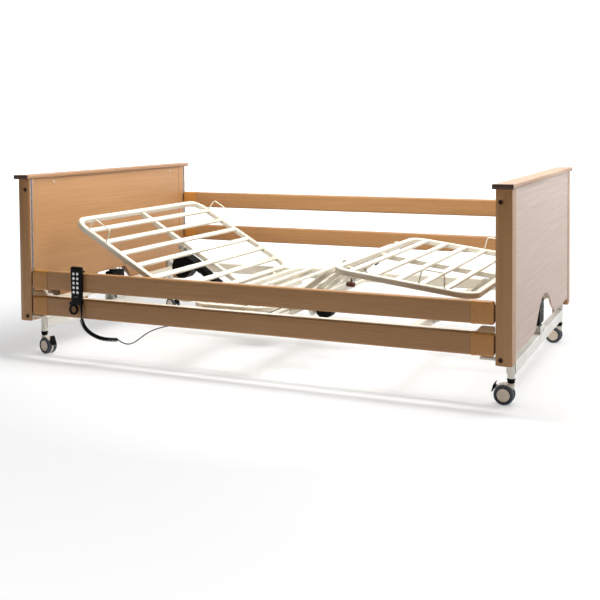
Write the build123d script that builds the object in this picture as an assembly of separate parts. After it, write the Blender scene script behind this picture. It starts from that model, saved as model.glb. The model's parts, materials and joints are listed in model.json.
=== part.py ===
from build123d import *
import os
from math import atan2, cos, degrees, hypot, pi, radians, sin, tan

# Adjustable hospital bed. Millimetres, +Z up, origin on the floor under the bed's centre.
# X runs along the bed: head end at -X, foot end at +X. The lowered side rails are at -Y.

# ---------------------------------------------------------------- end boards
POST_IN = 1040.0
POST_OUT = 1100.0
POST_Y_IN = 602.0
POST_Y_OUT = 664.0
POST_CROWN = 6.0
POST_BOTTOM = 172.0
POST_TOP = 806.0
TOP_RAIL_HEIGHT = 18.0
TOP_RAIL_OVERHANG = 8.0
TOP_RAIL_END = 688.0
PANEL_IN = (1042.0, 1052.0)
PANEL_OUT = (1090.0, 1099.0)
PANEL_BOTTOM = 190.0
CUTOUT_OFFSET = 50.0
CUTOUT_TOP = 318.0
ARCH_FOOT = 204.0
ARCH_TOP = 328.0
ARCH_HALF = 265.0
PLUG_X = 1060.0
PLUG_Z = (193.0, 759.0)
PLUG_R = 6.0

# ---------------------------------------------------------------- lifting ends
LEG_X = 1071.0
LEG_Y = 542.0
LEG_R = 14.0
LEG_WALL = 2.0
LEG_BOTTOM = 94.0
LEG_TOP = 700.0
CROSSBAR = (114.0, 160.0)
CROSSBAR_HALF = 17.5
SLEEVE_R = 17.0
SLEEVE_BORE = 14.3
SLEEVE_BOTTOM = 163.0
SLEEVE_TOP = 770.0
LIFT_TUBE_R = 16.0
LIFT_TUBE_BORE = 10.5
LIFT_TUBE_TOP = 680.0
LIFT_ROD_R = 10.0
LIFT_ROD_BOTTOM = 215.0
LIFT_PIN_Z = 716.0

# ---------------------------------------------------------------- side rails
BAR_Y = (638.0, 666.0)
BAR_HEIGHT = 84.0
BAR_END = 1035.0
CAP_LENGTH = 78.0
CAP_PROUD = 1.0
NEAR_TOP_BAR = 317.0
NEAR_LOW_BAR = 202.0
FAR_TOP_BAR = 577.0
FAR_LOW_BAR = 394.0
TRACK_Y = 652.0
TRACK_WIDTH = 15.0
TRACK_DEPTH = 13.0
TRACK_WALL = 1.5
TONGUE = 11.0

# ---------------------------------------------------------------- main frame
RAIL_Y = (568.0, 598.0)
RAIL_Z = (225.0, 275.0)
RAIL_END = 1030.0
CROSS_Z = (190.0, 227.0)
END_CROSS_Z = (228.0, 259.0)
BACK_ANCHOR = (-340.0, 210.0)
BACK_CROSS_X = (-306.0, -276.0)
LEG_ANCHOR = (45.0, 170.0)
LEG_CROSS_X = (-5.0, 25.0)
STAY_ANCHOR = (680.0, 215.0)
STAY_CROSS_X = (630.0, 660.0)
STAY_Y = 150.0
PIN_R = 5.0
PIN_BORE = 5.05

# ---------------------------------------------------------------- lying surface
DECK_HALF = 550.0
THIGH_HALF = 400.0
TUBE = 25.0
TUBE_WALL = 2.0
TUBE_ROUND = 6.0
CORNER_R = 80.0
TOP_ABOVE_HINGE = 14.0
HINGE_Z = 273.0
BACK_HINGE_X = -314.0
THIGH_HINGE_X = 86.0
BACK_LENGTH = 682.0
THIGH_LENGTH = 312.6
CALF_LENGTH = 612.0
HINGE_GAP = 16.0
BACK_ANGLE = 30.0
THIGH_ANGLE = 37.2
CALF_DROP = 7.1
SLAT = (25.0, 10.0)
BACK_SLATS = [104.0 + 95.6 * i for i in range(6)]
CALF_SLATS = [97.0 + 97.0 * i for i in range(5)]
LUG_R = 11.0
HINGE_LUG_Y = 330.0
BACK_PIVOT = (381.0, -30.0)
LEG_LEVER = (220.0, -50.0)
STAY_PIVOT = (540.0, -35.0)
WIRE_R = 3.0
BUFFER_SPOT = (58.5, -400.0)
BUFFER_DROP = -46.0

# ---------------------------------------------------------------- casters
WHEEL_R = 37.5
WHEEL_WIDTH = 18.0
WHEEL_GAP = 5.0
TRAIL = 25.0
STEM_R = 5.0
PEDAL_PIVOT = (22.0, 64.5)
CASTERS = {
    "head_near": (-LEG_X, -LEG_Y, -15.0),
    "head_far": (-LEG_X, LEG_Y, -22.0),
    "foot_near": (LEG_X, -LEG_Y, 180.0),
    "foot_far": (LEG_X, LEG_Y, 176.0),
}

# ---------------------------------------------------------------- handset
HANDSET_X = (-810.0, -752.0)
HANDSET_Y = (-687.0, -667.0)
HANDSET_Z = (264.0, 430.0)
BUTTON_R = 6.2
BUTTON_PITCH = 20.0
BUTTON_TOP_Z = 400.0
BUTTON_PROUD = 0.8
CORD_R = 2.5
CURL_R = 9.5

os.makedirs("parts", exist_ok=True)


def block(x, y, z):
    """A box from three (low, high) pairs."""
    centre = Pos((x[0] + x[1]) / 2, (y[0] + y[1]) / 2, (z[0] + z[1]) / 2)
    return centre * Box(abs(x[1] - x[0]), abs(y[1] - y[0]), abs(z[1] - z[0]))


def rod(start, end, radius):
    """A round bar between two points."""
    along = Vector(*end) - Vector(*start)
    return extrude(Plane(origin=start, z_dir=along) * Circle(radius), along.length)


def shrink(pair):
    """The inside of a tube that measures pair across, open to its neighbours."""
    return (pair[0] + TUBE_WALL, pair[1] - TUBE_WALL)


def cross_pin(x, z, y0, y1, radius):
    """A round bar along Y."""
    return rod((x, y0, z), (x, y1, z), radius)


def upright(x, y, z0, z1, radius):
    return rod((x, y, z0), (x, y, z1), radius)


def plate(points, y0, y1):
    """A flat plate in the XZ plane, from y0 to y1."""
    outline = Plane.XZ * make_face(Polyline(*points, close=True))
    return Pos(0, y1, 0) * extrude(outline, y1 - y0)


def ends(shape):
    """The same shape at the foot end and, turned half a turn about Z, at the head end."""
    return [shape, Rot(0, 0, 180) * shape]


def save(name, *solids):
    flat = []
    for item in solids:
        flat += list(item) if isinstance(item, (list, tuple)) else [item]
    shape = flat[0] if len(flat) == 1 else Compound(children=[s for f in flat for s in f.solids()])
    export_step(shape, f"parts/{name}.step")


# ================================================================ leg frames on the floor
def leg_frame(side):
    """Two leg tubes joined low down by a crossbar, with the clevis of the lift motor."""
    x = LEG_X * side
    frame = block((x - CROSSBAR_HALF, x + CROSSBAR_HALF), (-LEG_Y, LEG_Y), CROSSBAR)
    frame = fillet(frame.edges().filter_by(Axis.Y), 5)
    for y in (-LEG_Y, LEG_Y):
        frame += upright(x, y, LEG_BOTTOM, LEG_TOP, LEG_R)
    inside = CROSSBAR_HALF - TUBE_WALL
    frame -= block((x - inside, x + inside), (-LEG_Y, LEG_Y), shrink(CROSSBAR))
    for y in (-LEG_Y, LEG_Y):
        ring = upright(x, y, LEG_BOTTOM, LEG_TOP, LEG_R)
        frame += ring - upright(x, y, LEG_BOTTOM, LEG_TOP, LEG_R - LEG_WALL)
        frame -= upright(x, y, LEG_BOTTOM, LEG_TOP, LEG_R - LEG_WALL)
    for y in (-17.0, 13.0):
        ear = block((x - 14, x + 14), (y, y + 4), (CROSSBAR[1] - 2, 196.0))
        ear = fillet(ear.edges().filter_by(Axis.Y).group_by(Axis.Z)[-1], 10)
        frame += ear - cross_pin(x, 184, y - 1, y + 5, PIN_BORE)
    return frame


def lift_motor(side):
    """Motor housing and outer tube of one column lift, hinged on the crossbar's ears."""
    x = LEG_X * side
    near = -60.0 * side
    far = 50.0 * side
    inner = (LEG_X - 31.0) * side
    outer = (LEG_X + 16.0) * side
    housing = block(sorted((inner, outer)), sorted((near, far)), (197.0, 304.0))
    housing = fillet(housing.edges().filter_by(Axis.Z), 9)
    housing = fillet(housing.edges().group_by(Axis.Z)[-1], 5)
    tongue = block((x - 12, x + 12), (-12.5, 12.5), (170.0, 200.0))
    tube = upright(x, 0, 296.0, LIFT_TUBE_TOP, LIFT_TUBE_R)
    body = housing + tongue + tube
    body -= upright(x, 0, 205.0, LIFT_TUBE_TOP + 1, LIFT_TUBE_BORE)
    body -= cross_pin(x, 184, -20, 20, PIN_BORE)
    pin = cross_pin(x, 184, -20, 20, PIN_R)
    for y in (-23.0, 20.0):
        pin += cross_pin(x, 184, y, y + 3, 9)
    return [body, pin]


def caster_collars(side):
    """Black collar under each leg tube, with its plug up inside the tube."""
    solids = []
    for y in (-LEG_Y, LEG_Y):
        x = LEG_X * side
        collar = upright(x, y, 82.0, LEG_BOTTOM, 13.5)
        collar = fillet(collar.edges().group_by(Axis.Z)[0], 3)
        collar += upright(x, y, LEG_BOTTOM, 124.0, LEG_R - LEG_WALL - 0.05)
        solids.append(collar - upright(x, y, 80.0, 130.0, STEM_R + 0.05))
    return solids


for name, side in (("foot", 1), ("head", -1)):
    save(f"{name}_leg_frame", leg_frame(side))
    save(f"{name}_lift_motor", lift_motor(side))
    save(f"{name}_caster_collars", caster_collars(side))


# ================================================================ twin-wheel braked casters
def caster(x, y, angle):
    """Hood with stem, wheel pair and brake pedal, trailing towards angle from the stem."""
    place = Pos(x, y, 0) * Rot(0, 0, angle)
    width = WHEEL_GAP + WHEEL_WIDTH
    shroud = cross_pin(TRAIL, WHEEL_R, -width, width, WHEEL_R + 4.5)
    shroud -= cross_pin(TRAIL, WHEEL_R, -width - 1, width + 1, WHEEL_R + 1.5)
    shroud -= block((-60, 120), (-60, 60), (-20, 52.0))
    shroud -= block((TRAIL + 18, 120), (-60, 60), (-20, 100))
    hood = shroud + block((-6, TRAIL + 14), (-3.5, 3.5), (28.0, 76.0))
    hood += block((TRAIL + 10, TRAIL + 26), (-1.5, 1.5), (60.0, 69.0))
    hood += upright(0, 0, 68.0, 81.7, 12.0)
    hood -= cross_pin(TRAIL, WHEEL_R, -60, 60, 4.05)
    for sign in (-1, 1):
        hood -= cross_pin(TRAIL, WHEEL_R, sign * 3.5, sign * (width + 1), WHEEL_R + 1.5)
    hood += upright(0, 0, 76.0, 122.0, STEM_R)
    hood += cross_pin(TRAIL + PEDAL_PIVOT[0], PEDAL_PIVOT[1], -4.2, 4.2, 2.0)

    wheels = cross_pin(TRAIL, WHEEL_R, -width + 2, width - 2, 4.0)
    for sign in (-1, 1):
        tyre = cross_pin(TRAIL, WHEEL_R, sign * WHEEL_GAP, sign * width, WHEEL_R)
        wheels += fillet(tyre.edges().filter_by(GeomType.CIRCLE), 5)

    pedal = block((TRAIL + 17, TRAIL + 36), (-4.2, 4.2), (60.5, 68.5))
    pedal -= block((TRAIL + 15, TRAIL + 28), (-1.9, 1.9), (58.0, 71.0))
    pedal += block((TRAIL + 34.5, TRAIL + 39), (-11, 11), (57.0, 82.0))
    pedal += block((TRAIL + 37, TRAIL + 47), (-11, 11), (56.0, 60.5))
    pedal -= cross_pin(TRAIL + PEDAL_PIVOT[0], PEDAL_PIVOT[1], -6, 6, 2.05)
    return [place * hood, place * wheels, place * pedal]


for name, spot in CASTERS.items():
    hood, wheels, pedal = caster(*spot)
    save(f"{name}_caster_hood", hood)
    save(f"{name}_wheels", wheels)
    save(f"{name}_brake_pedal", pedal)


# ================================================================ end boards
def post(sign):
    """One end post, with its crowned outer face and the groove for the rail track."""
    left = (POST_IN, POST_Y_OUT)
    right = (POST_OUT, POST_Y_OUT)
    crown = ((POST_IN + POST_OUT) / 2, POST_Y_OUT + POST_CROWN)
    outline = ThreePointArc(left, crown, right)
    outline += Polyline(right, (POST_OUT, POST_Y_IN), (POST_IN, POST_Y_IN), left)
    body = Pos(0, 0, POST_BOTTOM) * extrude(make_face(outline), POST_TOP - POST_BOTTOM)
    groove = (TRACK_Y - TRACK_WIDTH / 2, TRACK_Y + TRACK_WIDTH / 2)
    body -= block((POST_IN - 1, POST_IN + TRACK_DEPTH), groove, (POST_BOTTOM - 1, POST_TOP + 1))
    for z in PLUG_Z:
        body -= cross_pin(PLUG_X, z, POST_Y_OUT - 4, POST_Y_OUT + 10, PLUG_R)
    return body if sign > 0 else mirror(body, Plane.XZ)


def track(sign):
    """Aluminium channel let into the post, open towards the side rails."""
    width = (TRACK_Y - TRACK_WIDTH / 2, TRACK_Y + TRACK_WIDTH / 2)
    slot = (width[0] + TRACK_WALL, width[1] - TRACK_WALL)
    body = block((POST_IN, POST_IN + TRACK_DEPTH), width, (POST_BOTTOM + 2, POST_TOP))
    body -= block((POST_IN - 1, POST_IN + TRACK_DEPTH - TRACK_WALL), slot, (POST_BOTTOM, POST_TOP + 1))
    return body if sign > 0 else mirror(body, Plane.XZ)


def outer_panel():
    """Outer board with the bell-shaped arch over the crossbar."""
    half = POST_Y_IN
    flank = [(-230.0, 208.0), (-175.0, 245.0), (-122.0, 290.0), (-72.0, 316.0)]
    bell = [(-ARCH_HALF, ARCH_FOOT)] + flank + [(0.0, ARCH_TOP)]
    bell += [(-y, z) for y, z in reversed(flank)] + [(ARCH_HALF, ARCH_FOOT)]
    arch = Spline(*bell, tangents=[(1, 0), (1, 0)])
    arch += Polyline((ARCH_HALF, ARCH_FOOT), (half, ARCH_FOOT), (half, POST_TOP), (-half, POST_TOP),
                     (-half, ARCH_FOOT), (-ARCH_HALF, ARCH_FOOT))
    face = Plane(origin=(PANEL_OUT[0], 0, 0), x_dir=(0, 1, 0), z_dir=(1, 0, 0)) * make_face(arch)
    return extrude(face, PANEL_OUT[1] - PANEL_OUT[0])


def inner_panel(winged):
    """Inner board; the head one has two low wings beside a cut-out, open beside the columns."""
    half = POST_Y_IN
    c = CUTOUT_OFFSET
    points = [(-half, POST_TOP), (-half, CUTOUT_TOP)]
    if winged:
        points += [(-460, CUTOUT_TOP), (-460, PANEL_BOTTOM), (c - 215, PANEL_BOTTOM), (c - 120, CUTOUT_TOP),
                   (c + 120, CUTOUT_TOP), (c + 215, PANEL_BOTTOM), (460, PANEL_BOTTOM), (460, CUTOUT_TOP)]
    points += [(half, CUTOUT_TOP), (half, POST_TOP)]
    outline = make_face(Polyline(*points, close=True))
    face = Plane(origin=(PANEL_IN[0], 0, 0), x_dir=(0, 1, 0), z_dir=(1, 0, 0)) * outline
    return extrude(face, PANEL_IN[1] - PANEL_IN[0])


def top_rail():
    low = (POST_IN - TOP_RAIL_OVERHANG, POST_OUT + TOP_RAIL_OVERHANG)
    body = block(low, (-TOP_RAIL_END, TOP_RAIL_END), (POST_TOP, POST_TOP + TOP_RAIL_HEIGHT))
    return fillet(body.edges().filter_by(Axis.Y), 6)


def plugs():
    solids = []
    for sign in (-1, 1):
        for z in PLUG_Z:
            inner = sign * (POST_Y_OUT - 4)
            solids.append(cross_pin(PLUG_X, z, inner, sign * (POST_Y_OUT + 5.2), PLUG_R))
    return solids


def both_ends(makers):
    solids = []
    for shape in makers:
        solids += ends(shape)
    return solids


save("end_posts", both_ends([post(-1), post(1)]))
save("rail_tracks", both_ends([track(-1), track(1)]))
save("foot_panels", inner_panel(False), outer_panel())
save("head_panels", Rot(0, 0, 180) * inner_panel(True), Rot(0, 0, 180) * outer_panel())
save("end_top_rails", both_ends([top_rail()]))
save("post_plugs", both_ends(plugs()))


# ================================================================ lift columns inside the ends
def lift_column():
    """Two sleeves over the leg tubes, their top tube with the rod clevis, and the frame sockets."""
    body = block((LEG_X - 13, LEG_X + 13), (-LEG_Y, LEG_Y), (735.0, 765.0))
    for y in (-LEG_Y, LEG_Y):
        body += upright(LEG_X, y, SLEEVE_BOTTOM, SLEEVE_TOP, SLEEVE_R)
        socket = sorted((y - 15, y + 15))
        body += block((RAIL_END, LEG_X), socket, (228.0, 272.0))
    body -= block((LEG_X - 11, LEG_X + 11), (-LEG_Y, LEG_Y), (737.0, 763.0))
    for y in (-LEG_Y, LEG_Y):
        body -= upright(LEG_X, y, SLEEVE_BOTTOM - 1, SLEEVE_TOP + 1, SLEEVE_BORE)
    for y in (-12.0, 8.0):
        ear = block((LEG_X - 12, LEG_X + 12), (y, y + 4), (706.0, 736.0))
        body += ear - cross_pin(LEG_X, LIFT_PIN_Z, y - 1, y + 5, PIN_BORE)
    return body


def lift_rod():
    """Piston rod with its top eye and pin."""
    body = upright(LEG_X, 0, LIFT_ROD_BOTTOM, 705.0, LIFT_ROD_R)
    body += cross_pin(LEG_X, LIFT_PIN_Z, -7.8, 7.8, 12.0)
    body -= cross_pin(LEG_X, LIFT_PIN_Z, -9, 9, PIN_BORE)
    pin = cross_pin(LEG_X, LIFT_PIN_Z, -14, 14, PIN_R)
    return [body, pin]


save("lift_columns", both_ends([lift_column()]))
save("lift_rods", both_ends(lift_rod()))


# ================================================================ main frame under the deck
def cheeks(x, z, y, gap, half_length, top, bore):
    """A pair of bracket plates round a pivot at (x, z), reaching up to top."""
    solids = None
    for sign in (-1, 1):
        face = y + sign * gap
        wall = block((x - half_length, x + half_length), sorted((face, face + sign * 4)), (z - 20, top))
        wall -= cross_pin(x, z, y - gap - 10, y + gap + 10, bore)
        solids = wall if solids is None else solids + wall
    return solids


def main_frame():
    """Two side rails, five crossmembers and the brackets of the actuators and the calf stays."""
    body = None
    for sign in (-1, 1):
        rail = block((-RAIL_END, RAIL_END), sorted((sign * RAIL_Y[0], sign * RAIL_Y[1])), RAIL_Z)
        rail = fillet(rail.edges().filter_by(Axis.X), 4)
        body = rail if body is None else body + rail
    end_cross = (RAIL_END - 30, RAIL_END)
    tubes = [(sorted((sign * end_cross[0], sign * end_cross[1])), END_CROSS_Z) for sign in (-1, 1)]
    tubes += [(cross, CROSS_Z) for cross in (BACK_CROSS_X, LEG_CROSS_X, STAY_CROSS_X)]
    for across, high in tubes:
        body += block(across, (-RAIL_Y[0] - 14, RAIL_Y[0] + 14), high)
    for sign in (-1, 1):
        inside = sorted((sign * (RAIL_Y[0] + TUBE_WALL), sign * (RAIL_Y[1] - TUBE_WALL)))
        body -= block((-RAIL_END - 1, RAIL_END + 1), inside, shrink(RAIL_Z))
    for across, high in tubes:
        body -= block(shrink(across), (-RAIL_Y[0] - 12, RAIL_Y[0] + 12), shrink(high))
    for x in (BACK_HINGE_X, THIGH_HINGE_X):
        for y in (-HINGE_LUG_Y, HINGE_LUG_Y):
            side = 1 if y > 0 else -1
            for shift in (-14.0, 8.0):
                inner = y + shift
                lug = block((x - 9, x + 9), (inner, inner + 6), (226.0, HINGE_Z))
                lug += cross_pin(x, HINGE_Z, inner, inner + 6, 9)
                body += lug - cross_pin(x, HINGE_Z, inner - 1, inner + 7, PIN_BORE)
    for x in (BACK_HINGE_X, THIGH_HINGE_X):
        for sign in (-1, 1):
            reach = sorted((sign * (HINGE_LUG_Y - 16), sign * (RAIL_Y[0] + 1)))
            body += block((x - 9, x + 9), reach, (228.0, 241.0))
    x, z = BACK_ANCHOR
    back = cheeks(x, z, 0, 14, 24, 232.0, 17.5)
    for y in (-18.0, 14.0):
        back += block((x + 20, BACK_CROSS_X[0] + 1), (y, y + 4), (z - 18, CROSS_Z[1]))
    body += back
    x, z = LEG_ANCHOR
    for y in (-17.0, 13.0):
        ear = plate([(x - 30, 215), (x - 30, 192), (x - 9, z - 11), (x + 9, z - 11), (x + 11, z + 4),
                     (x - 12, 215)], y, y + 4)
        body += ear - cross_pin(x, z, y - 1, y + 5, PIN_BORE)
    x, z = STAY_ANCHOR
    for y in (-STAY_Y, STAY_Y):
        for shift in (-8.0, 4.0):
            ear = plate([(x - 24, 222), (x - 24, 196), (x + 9, z - 10), (x + 10, z + 8), (x, 226)],
                        y + shift, y + shift + 4)
            body += ear - cross_pin(x, z, y + shift - 1, y + shift + 5, PIN_BORE)
    return body


def deck_ring(start, stop, half):
    """A closed tube frame with rounded corners, its top level with the deck."""
    length = stop - start
    outer = RectangleRounded(length, 2 * half, CORNER_R)
    inner = RectangleRounded(length - 2 * TUBE, 2 * half - 2 * TUBE, CORNER_R - TUBE)
    ring = extrude(outer - inner, TUBE)
    ring = fillet(ring.edges().group_by(Axis.Z)[-1] + ring.edges().group_by(Axis.Z)[0], TUBE_ROUND)
    return Pos((start + stop) / 2, 0, TOP_ABOVE_HINGE - TUBE) * ring


def open_inside(ring, start, stop, half):
    """Opens the ring tube inside, with vent holes underneath."""
    wall = TUBE_WALL
    outer = RectangleRounded(stop - start - 2 * wall, 2 * (half - wall), CORNER_R - wall)
    narrow = 2 * (TUBE - wall)
    inner = RectangleRounded(stop - start - narrow, 2 * half - narrow, CORNER_R - TUBE + wall)
    space = extrude(outer - inner, TUBE - 2 * wall)
    edges = space.edges().group_by(Axis.Z)[-1] + space.edges().group_by(Axis.Z)[0]
    space = fillet(edges, TUBE_ROUND - wall)
    space = Pos((start + stop) / 2, 0, TOP_ABOVE_HINGE - TUBE + wall) * space
    for y in (-half / 2, half / 2):
        space += upright(stop - TUBE / 2, y, TOP_ABOVE_HINGE - TUBE - 1, 0, 3)
    return ring - space


def welded(ring, start, stop, half):
    """The ring as it is welded up: straight tubes, with bent corners between them."""
    wide = half - CORNER_R
    high = (-100.0, 100.0)
    outside = half + 60
    solids = []
    for y in ((-outside, -wide), (wide, outside)):
        for s in ((start - 60, start + CORNER_R), (start + CORNER_R, stop - CORNER_R),
                  (stop - CORNER_R, stop + 60)):
            solids += (ring & block(s, y, high)).solids()
    return solids + (ring & block((start - 60, stop + 60), (-wide, wide), high)).solids()


def slats_of(spots, ring, half):
    """Flat tubes across the section, trimmed where they meet the ring's corners."""
    high = TOP_ABOVE_HINGE - 1
    reach = half - TUBE
    wide = SLAT[0] / 2
    solids = []
    for s in spots:
        bar = block((s - wide, s + wide), (-reach, reach), (high - SLAT[1], high))
        bar = fillet(bar.edges().filter_by(Axis.Y).group_by(Axis.Z)[-1], 3)
        bar -= block(shrink((s - wide, s + wide)), (-half, half), shrink((high - SLAT[1], high)))
        solids.append(bar - ring)
    return solids


def beam(start, stop, y=0.0):
    """Square tube along the section under its slats, between the ring's end tubes."""
    high = TOP_ABOVE_HINGE - 1 - SLAT[1]
    body = block((start + TUBE, stop - TUBE), (y - 12.5, y + 12.5), (high - 20, high))
    return body - block((start, stop), shrink((y - 12.5, y + 12.5)), shrink((high - 20, high)))


def hinge_lugs(s_ring, direction):
    """Middle lug of each hinge, reaching from the section's end tube to the hinge axis."""
    solids = None
    for y in (-HINGE_LUG_Y, HINGE_LUG_Y):
        low = sorted((0, s_ring + direction * 8))
        lug = block(low, (y - 7.5, y + 7.5), (-9, 9)) + cross_pin(0, 0, y - 7.5, y + 7.5, LUG_R)
        solids = lug if solids is None else solids + lug
    return solids


def back_section():
    whole = deck_ring(HINGE_GAP, BACK_LENGTH, DECK_HALF)
    ring = open_inside(whole, HINGE_GAP, BACK_LENGTH, DECK_HALF) + hinge_lugs(HINGE_GAP, 1)
    for y in (-HINGE_LUG_Y, HINGE_LUG_Y):
        ring -= cross_pin(0, 0, y - 20, y + 20, PIN_BORE)
    spine = beam(HINGE_GAP, BACK_LENGTH)
    s, t = BACK_PIVOT
    for y in (-17.0, 13.0):
        ear = plate([(s - 22, -10), (s - 11, t - 11), (s + 11, t - 11), (s + 22, -10)], y, y + 4)
        spine += ear - cross_pin(s, t, y - 1, y + 5, PIN_BORE)
    spine += block((s - 22, s + 22), (-17, 17), (-18, -10))
    solids = welded(ring, HINGE_GAP, BACK_LENGTH, DECK_HALF)
    return solids + [spine] + slats_of(BACK_SLATS, whole, DECK_HALF)


def thigh_section():
    far_end = THIGH_LENGTH - HINGE_GAP
    whole = deck_ring(HINGE_GAP, far_end, THIGH_HALF)
    ring = open_inside(whole, HINGE_GAP, far_end, THIGH_HALF) + hinge_lugs(HINGE_GAP, 1)
    ring += Pos(THIGH_LENGTH, 0, 0) * hinge_lugs(-HINGE_GAP, -1)
    for s in (0.0, THIGH_LENGTH):
        for y in (-HINGE_LUG_Y, HINGE_LUG_Y):
            ring -= cross_pin(s, 0, y - 20, y + 20, PIN_BORE)
    spine = beam(HINGE_GAP, far_end)
    s, t = LEG_LEVER
    for y in (-17.0, 13.0):
        ear = plate([(s - 30, -12), (s - 11, t - 11), (s + 11, t - 11), (s + 22, -12)], y, y + 4)
        spine += ear - cross_pin(s, t, y - 1, y + 5, PIN_BORE)
    spine += block((s - 30, s + 22), (-17, 17), (-18, -9))
    beams = [beam(HINGE_GAP, far_end, y) for y in (-190.0, 190.0)]
    solids = welded(ring, HINGE_GAP, far_end, THIGH_HALF)
    return solids + [spine] + beams + slats_of((105.0, 207.0), whole, THIGH_HALF)


def calf_section():
    whole = deck_ring(HINGE_GAP, CALF_LENGTH, DECK_HALF)
    ring = open_inside(whole, HINGE_GAP, CALF_LENGTH, DECK_HALF)
    for y in (-HINGE_LUG_Y, HINGE_LUG_Y):
        for shift in (-14.0, 8.0):
            low = y + shift
            lug = block((0, HINGE_GAP + 8), (low, low + 6), (-9, 9)) + cross_pin(0, 0, low, low + 6, 9)
            ring += lug - cross_pin(0, 0, low - 1, low + 7, PIN_BORE)
    s, t = STAY_PIVOT
    for y in (-STAY_Y, STAY_Y):
        for shift in (-10.0, 7.0):
            low = y + shift
            ring += plate([(s - 12, t + 14), (s - 12, t - 8), (s - 6, t - 11), (s + 8, t - 11),
                           (CALF_LENGTH - 6, -10), (CALF_LENGTH - 6, 4), (s + 4, 4)], low, low + 3)
        ring += cross_pin(s, t, y - 10, y + 10, 4.0)
    width = (BUFFER_SPOT[1] - 10, BUFFER_SPOT[1] + 10)
    edge = BUFFER_SPOT[0] + 10
    ring += block((HINGE_GAP + TUBE - 5, edge), width, (-6, -2))
    ring += block((edge - 4, edge), width, (BUFFER_DROP, -2))
    ring += block((edge - 20, edge), width, (BUFFER_DROP, BUFFER_DROP + 4))
    solids = welded(ring, HINGE_GAP, CALF_LENGTH, DECK_HALF)
    return solids + [beam(HINGE_GAP, CALF_LENGTH)] + slats_of(CALF_SLATS, whole, DECK_HALF)


def thigh_pins():
    """Knee hinge pins, and the pin of the lever that the knee actuator pushes."""
    solids = [cross_pin(*LEG_LEVER, -19, 19, PIN_R)]
    for y in (-HINGE_LUG_Y, HINGE_LUG_Y):
        solids.append(cross_pin(THIGH_LENGTH, 0, y - 16, y + 16, PIN_R))
    return solids


def retainer(s, width, side):
    """Wire hoop that keeps the mattress on the section."""
    y = side * (DECK_HALF - 12)
    low = TOP_ABOVE_HINGE - 8
    high = TOP_ABOVE_HINGE + 58
    tip = y + side * 4
    points = [(s - width / 2, y, low), (s - width / 2 + 8, tip, high), (s + width / 2 - 8, tip, high),
              (s + width / 2, y, low)]
    path = FilletPolyline(*points, radius=14)
    return sweep(Plane(origin=path @ 0, z_dir=path % 0) * Circle(WIRE_R), path)


def knob(s, y):
    """Round rubber buffer on a stem under its bracket on the calf section."""
    body = rod((s, y, BUFFER_DROP), (s, y, BUFFER_DROP - 20), 3.0)
    body += rod((s, y, BUFFER_DROP - 20), (s, y, BUFFER_DROP - 34), 19.0)
    return fillet(body.edges().group_by(Axis.Z)[0], 2)


back_place = Pos(BACK_HINGE_X, 0, HINGE_Z) * Rot(0, BACK_ANGLE, 0) * Rot(0, 0, 180)
thigh_place = Pos(THIGH_HINGE_X, 0, HINGE_Z) * Rot(0, -THIGH_ANGLE, 0)
knee = thigh_place * Pos(THIGH_LENGTH, 0, 0)
calf_place = Pos(*knee.position) * Rot(0, CALF_DROP, 0)

save("main_frame", main_frame())
hinge_pins = []
for x in (BACK_HINGE_X, THIGH_HINGE_X):
    for y in (-HINGE_LUG_Y, HINGE_LUG_Y):
        hinge_pins.append(cross_pin(x, HINGE_Z, y - 16, y + 16, PIN_R))
save("section_hinge_pins", hinge_pins)


def seat_section():
    """Fixed middle of the deck, standing on the side rails."""
    start = BACK_HINGE_X + HINGE_GAP
    stop = THIGH_HINGE_X - HINGE_GAP
    count = 3
    slats = [start + (stop - start) * (i + 1) / (count + 1) for i in range(count)]
    whole = deck_ring(start, stop, DECK_HALF)
    ring = open_inside(whole, start, stop, DECK_HALF)
    for x in (-250.0, -10.0):
        for side in (-1, 1):
            foot = sorted((side * (DECK_HALF - 6), side * RAIL_Y[0]))
            ring += block((x - 20, x + 20), foot, (262.0 - HINGE_Z, 272.0 - HINGE_Z))
    solids = welded(ring, start, stop, DECK_HALF)
    return solids + [beam(start, stop)] + slats_of(slats, whole, DECK_HALF)


save("seat_section", [Pos(0, 0, HINGE_Z) * item for item in seat_section()])
save("back_section", [back_place * item for item in back_section()])
hoops = [retainer(533.0, 110.0, side) for side in (-1, 1)]
save("back_retainers", [back_place * hoop for hoop in hoops])
save("thigh_section", [thigh_place * item for item in thigh_section()])
save("thigh_pins", [thigh_place * pin for pin in thigh_pins()])
save("calf_section", [calf_place * item for item in calf_section()])
hoops = [retainer(434.0, 104.0, side) for side in (-1, 1)]
save("calf_retainers", [calf_place * item for item in hoops])
save("calf_buffer", calf_place * knob(*BUFFER_SPOT))


# ================================================================ actuators of the deck
def axis_place(start, end):
    """Frame with X from start to end, in the XZ plane, and Y across the bed."""
    angle = degrees(atan2(end[1] - start[1], end[0] - start[0]))
    return Pos(start[0], 0, start[1]) * Rot(0, -angle, 0)


def back_motor():
    """Drum motor and spindle tube, hung from the back section."""
    drum = cross_pin(66, -66, -36, 36, 54)
    drum = fillet(drum.edges().filter_by(GeomType.CIRCLE), 8)
    gear = block((30, 136), (-30, 30), (-62, -2))
    gear = fillet(gear.edges().filter_by(Axis.Y), 12)
    gear = fillet(gear.edges().filter_by(Axis.X), 6)
    tube = rod((120, 0, -18), (268, 0, -18), 22)
    tongue = block((0, 46), (-12.5, 12.5), (-10, 8)) + cross_pin(0, 0, -12.5, 12.5, 10)
    tongue -= cross_pin(0, 0, -20, 20, PIN_BORE)
    body = drum + gear + tube + tongue
    body -= rod((114, 0, -18), (269, 0, -18), 9.5)
    pin = cross_pin(0, 0, -19, 19, PIN_R)
    return [body, pin]


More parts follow.
